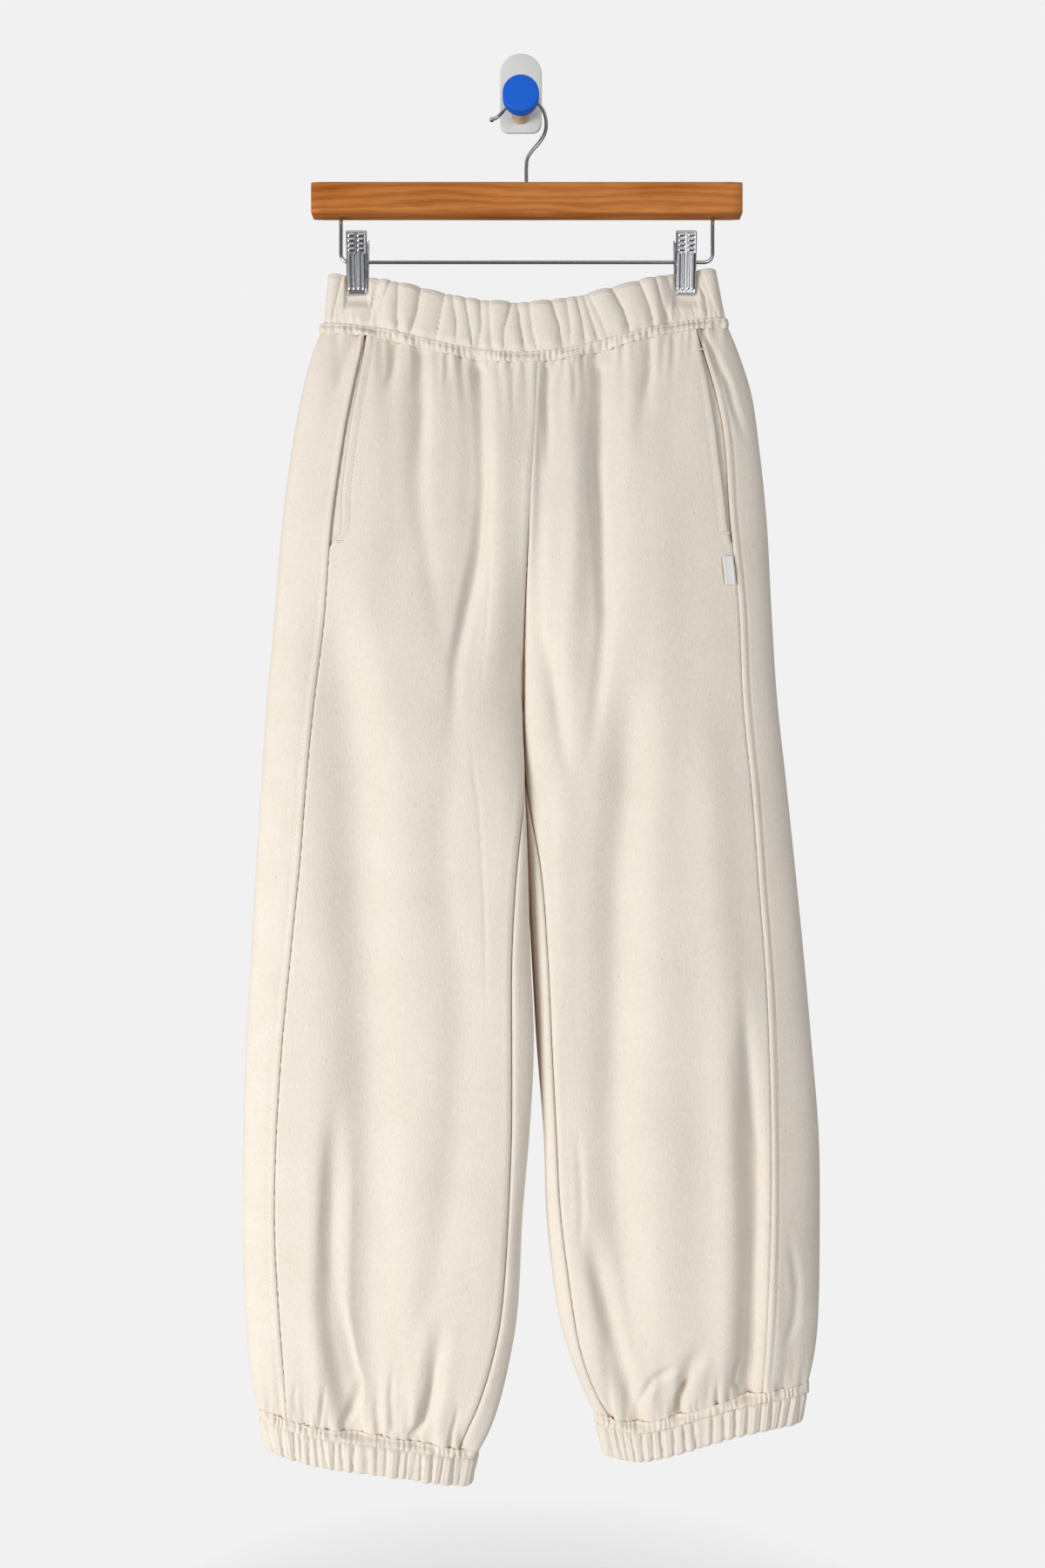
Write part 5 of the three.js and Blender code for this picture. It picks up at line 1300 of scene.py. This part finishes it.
def lathe(name, profile, centre, material, spokes=64):
    """Solid turned about an axis along Y: the profile gives radius and Y."""
    turns = math.tau * np.arange(spokes) / spokes
    rings = []
    for radius, y in profile:
        rings.append(stacked(centre[0] + radius * np.cos(turns), y, centre[1] + radius * np.sin(turns)))
    return capped(name, np.array(rings), material)


def rounded_profile(radius, back, front, edge):
    """Radius and Y of a disc with rounded rims, from its back face to its front face."""
    rims = arc(radius - edge, back - edge, edge, 1, 0, 6) + arc(radius - edge, front + edge, edge, 0, -1, 6)
    return [(0.05, back)] + rims + [(0.05, front)]


def hanger_bar(material):
    low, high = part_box("hanger_bar")
    low, high = np.array(low) / MM, np.array(high) / MM
    _, middle_y, middle_z = (low + high) / 2
    _, d, h = (high - low) / 2
    edge = 2.0
    outline = []
    for corner, (sy, sz) in enumerate(((1, 1), (-1, 1), (-1, -1), (1, -1))):
        outline += arc(sy * (d - edge), sz * (h - edge), edge, corner, corner + 1, 4)
    x = np.linspace(low[0], high[0], 40)
    stations = [(x[0], 0.9), (x[0] + 0.5, 0.27)] + [(place, 0) for place in x[1:-1]]
    stations += [(x[-1] - 0.5, 0.27), (x[-1], 0.9)]
    rings = [[(place, middle_y + y * (1 - inset / d), middle_z + z * (1 - inset / h)) for y, z in outline]
             for place, inset in stations]
    return capped("bar_wood", np.array(rings), material, -1)


def clip_jaw(name, centre_x, front, metal, painted_reflection):
    """Pressed sheet jaw: bumps above, ribs below, side edges bent back and a plain lip."""
    columns, rows = 44, 92
    v = np.linspace(0, CLIP_HEIGHT, rows)[:, None]
    half = CLIP_WIDTH / 2
    x = np.linspace(-1, 1, columns)[None, :] * half * np.ones_like(v)
    emboss = np.zeros((rows, columns))

    def soft_box(cx, cv, wx, wv, edge):
        dx = np.maximum(0, np.abs(x - cx) - wx / 2 + edge)
        dv = np.maximum(0, np.abs(v - cv) - wv / 2 + edge)
        return smooth(1 - np.hypot(dx, dv) / edge)

    for row in (3.8, 7.7, 11.5, 15.3):
        for column in (-3.9, 3.9):
            emboss += 0.75 * soft_box(column, row, 5.6, 2.5, 0.8)
    for column in (-5.8, -1.95, 1.95, 5.8):
        emboss += 0.85 * soft_box(column, 32.6, 2.5, 29.4, 0.9)
    bend = 2.6 * smooth((np.abs(x) - half + 1.5) / 1.5) ** 2
    bend += 1.6 * smooth((v - CLIP_HEIGHT + 2.6) / 2.6) ** 2 + 1.2 * smooth((1.6 - v) / 1.6) ** 2
    y = bend - emboss
    z = CLIP_HEIGHT / 2 - v * np.ones_like(x)
    sign = 1 if front else -1
    turned_y = y * math.cos(CLIP_LEAN) - z * math.sin(CLIP_LEAN)
    turned_z = y * math.sin(CLIP_LEAN) + z * math.cos(CLIP_LEAN)
    # the jaw's foot rests on the pinched waistband, at the clip's inner edge
    near_x = centre_x - math.copysign(half, centre_x)
    mid, reach = (BAND_LEFT + BAND_RIGHT) / 2, (BAND_RIGHT - BAND_LEFT) / 2
    cloth = BAND_PINCH * body_round((near_x - mid) / reach)
    lean = CLIP_HEIGHT / 2 * math.sin(CLIP_LEAN) + 1.2 * math.cos(CLIP_LEAN)
    shift = -cloth - 0.3 - lean
    z = turned_z + CLIP_TOP - CLIP_HEIGHT / 2
    points = stacked(centre_x + x, HANGER_Y + sign * (turned_y + shift), z)
    piece = shell(name, points, grid_normals(points, -sign), 0.9, metal, -sign)
    piece.data.materials.append(painted_reflection)
    # painted reflection and shade: the right and lower flanks of the pressed bumps and ribs get a dark
    # metal, in place of the dark surroundings that the chrome mirrors there
    slope = -np.gradient(emboss, axis=1) - 0.5 * np.gradient(emboss, axis=0).clip(-1, 0)
    quad_slope = (slope[:-1, :-1] + slope[1:, 1:] + slope[1:, :-1] + slope[:-1, 1:]).ravel() / 4
    shade = np.zeros(len(piece.data.polygons), dtype=np.int32)
    shade[: len(quad_slope)] = quad_slope > 0.1
    piece.data.polygons.foreach_set("material_index", shade)
    return piece


def clip_ears(name, centre_x, front, metal):
    """Side ears that reach back to the wire."""
    offset, reach, sign = (CLIP_WIDTH / 2 - 0.5, 9.2, 1) if front else (CLIP_WIDTH / 2 - 2, 8.2, -1)
    tip = [(3.4 * y - 0.6, 5.2 * z) for y, z in arc(0, 0, 1, -1, 1, 12)]
    profile = [(0.4 - reach, -8.5)] + tip + [(0.4 - reach, 8.5)]
    vertices, faces = [], []
    for side in (-1, 1):
        faces += shifted(capped_faces(2, len(profile)), len(vertices))
        for thick in (-0.45, 0.45):
            x = centre_x + side * offset + thick
            vertices += [(x, HANGER_Y + sign * y, WIRE_Z + z) for y, z in profile]
    return new_object(name, vertices, faces, metal, flat=True)


def wall_plate(material):
    """Plate with a round top, rounded lower corners and soft edges."""
    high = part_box("wall_plate")[1]
    w, h = high[0] / MM, high[2] / MM
    corner = 8
    outline = arc(0, h - w, w, 0, 2, 24)
    for side, first in ((-1, 2), (1, 3)):
        outline += arc(side * (w - corner), corner - h, corner, first, first + 1, 8)
    outline = np.array(outline)
    rings = []
    for y, inset in ((0, 0.35), (-0.5, 0), (-2.9, 0), (-3.4, 0.15), (-3.8, 0.5), (-4, 1.1)):
        flat = outline * [1 - inset / w, 1 - inset / h]
        rings.append(stacked(flat[:, 0], y, flat[:, 1]))
    return capped("plate_body", np.array(rings), material)


def stands_for(piece, node_name):
    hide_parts(node_name)


HOOK_SPOTS = [
    (4.7, -84.8), (4.6, -76), (4.6, -70), (5.4, -62.7), (9.4, -56.1), (15.2, -49.5), (20, -41.5),
    (21.2, -32.8), (19.3, -23.6), (14, -16), (7.2, -12), (0, -10.95), (-6.6, -12.7),
    (-10.8, -17.4), (-13.4, -21.6), (-17, -25.4), (-20, -28.2), (-23.6, -29.8),
]


def clip_rail_points():
    """Down from the bar on the left, along the rail and up to the bar on the right."""
    bend, reach, middle, top = 7, 155.5, 5, -111.9
    down = [(reach, z) for z in np.linspace(top, WIRE_Z + bend + 1, 5)]
    down += arc(reach - bend, WIRE_Z + bend, bend, 0, -1, 8)
    straight = reach - bend - 8
    spots = [(middle - x, z) for x, z in down]
    spots += [(x, WIRE_Z) for x in np.linspace(middle - straight, middle + straight, 24)]
    spots += [(middle + x, z) for x, z in down[::-1]]
    return [(x, HANGER_Y, z) for x, z in spots]


def build_hanger():
    chrome = metal_material("wire", (0.56, 0.56, 0.58), 0.2)
    clip_metal = metal_material("clip metal", (0.8, 0.81, 0.83), 0.22)
    # The dark clip metal paints reflection and shade onto the flanks of the clips' pressed relief
    clip_painted_reflection = metal_material("clip painted reflection", (0.16, 0.17, 0.2), 0.35)
    stands_for(hanger_bar(bar_material()), "hanger_bar")
    ball = ((-24.4, HANGER_Y, -30.2), 2.0)
    hook = tube("hook_wire", curve_through(HOOK_SPOTS, 6), WIRE_RADIUS, chrome, ball=ball)
    stands_for(hook, "hanger_hook")
    stands_for(tube("clip_rail", clip_rail_points(), WIRE_RADIUS, chrome), "clip_wire")
    for word, centre in zip(("left", "right"), CLIP_CENTRES):
        for place, front in (("front", True), ("back", False)):
            jaw = clip_jaw(f"jaw_{word}_{place}", centre, front, clip_metal, clip_painted_reflection)
            stands_for(jaw, f"clip_{word}_{place}")
            ears = clip_ears(f"ears_{word}_{place}", centre, front, clip_metal)
    stands_for(wall_plate(plate_material()), "wall_plate")
    peg = lathe("peg_body", rounded_profile(*PEG, 0.5), HOOK_AXIS, peg_material(), 48)
    stands_for(peg, "wall_peg")
    knob = lathe("knob_body", rounded_profile(*KNOB, 1.1), HOOK_AXIS, knob_material(), 72)
    stands_for(knob, "wall_knob")


def declare(nodes):
    if nodes:
        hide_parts(*nodes)


def seam_stitches(name, points, thread, **shape):
    """Both rows of stitches along a gathered seam strip."""
    stitches(name, [ring_line(points, 2), ring_line(points, 8)], thread, **shape)


def build_garment():
    # The second colour of each fleece is its painted crease shade; the strips' fleece paints a lighter
    # shade into its creases
    fleece = fleece_material("fleece", (0.6, 0.42, 0.27))
    gathered = fleece_material("gathered fleece", (0.82, 0.69, 0.55))
    thread = thread_material()
    band, band_points = waistband(fleece)
    declare(["waistband"])
    near_waist = []
    for leg in (LEFT, RIGHT):
        word = leg["name"]
        near_cuff = []

        def panel(kind, build):
            """Builds a panel, hides the solid it stands for, and notes its first and last rows for the seam
            strips.
            """
            piece, outer, normals = build(leg, fleece)
            declare([f"{kind}_panel_{word}"])
            near_waist.append(outer[:2].reshape(-1, 3))
            near_cuff.append(outer[-2:].reshape(-1, 3))
            return outer, normals

        front_grid = panel("front", front_panel)
        side_grid = panel("side", side_panel)
        mouth = (PANEL_ROWS[:, 0] > MOUTH_TOP) & (PANEL_ROWS[:, 0] < MOUTH_FOOT)
        first, last = np.nonzero(mouth)[0][[0, -1]]
        stitches(f"stitches_{word}", [
            line_at(*front_grid, MOUTH_STITCH, first, last, from_end=True),
            line_at(*side_grid, FOLD_STITCH), line_at(*side_grid, FOLD_STITCH, from_end=True)], thread)
        for x, drop, length in BARTACKS[word]:
            bartack(f"bartack_{word}_{drop}", *front_grid, x, drop, length, thread)
        panel("back", back_panel)
        facing = pocket_facing(leg, fleece)
        declare([f"pocket_facing_{word}"])
        ankle, points = cuff(leg, fleece)
        declare([f"cuff_{word}"])
        near_top = points[:4].reshape(-1, 3)
        strip, strip_points = cuff_strip(leg, gathered, np.concatenate(near_cuff), near_top)
        declare([])
        seam_stitches(f"cuff_stitches_{word}", strip_points, thread, pitch=2.8, length=2.0, radius=0.25)
    near_foot = band_points[-4:].reshape(-1, 3)
    strip, strip_points = waist_strip(gathered, near_foot, np.concatenate(near_waist))
    declare([])
    seam_stitches("waist_stitches", strip_points, thread, pitch=2.9, length=2.1, radius=0.26)
    tape = label(RIGHT, label_material())
    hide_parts("side_label")


make_camera()
make_light()
make_floor()
build_hanger()
build_garment()
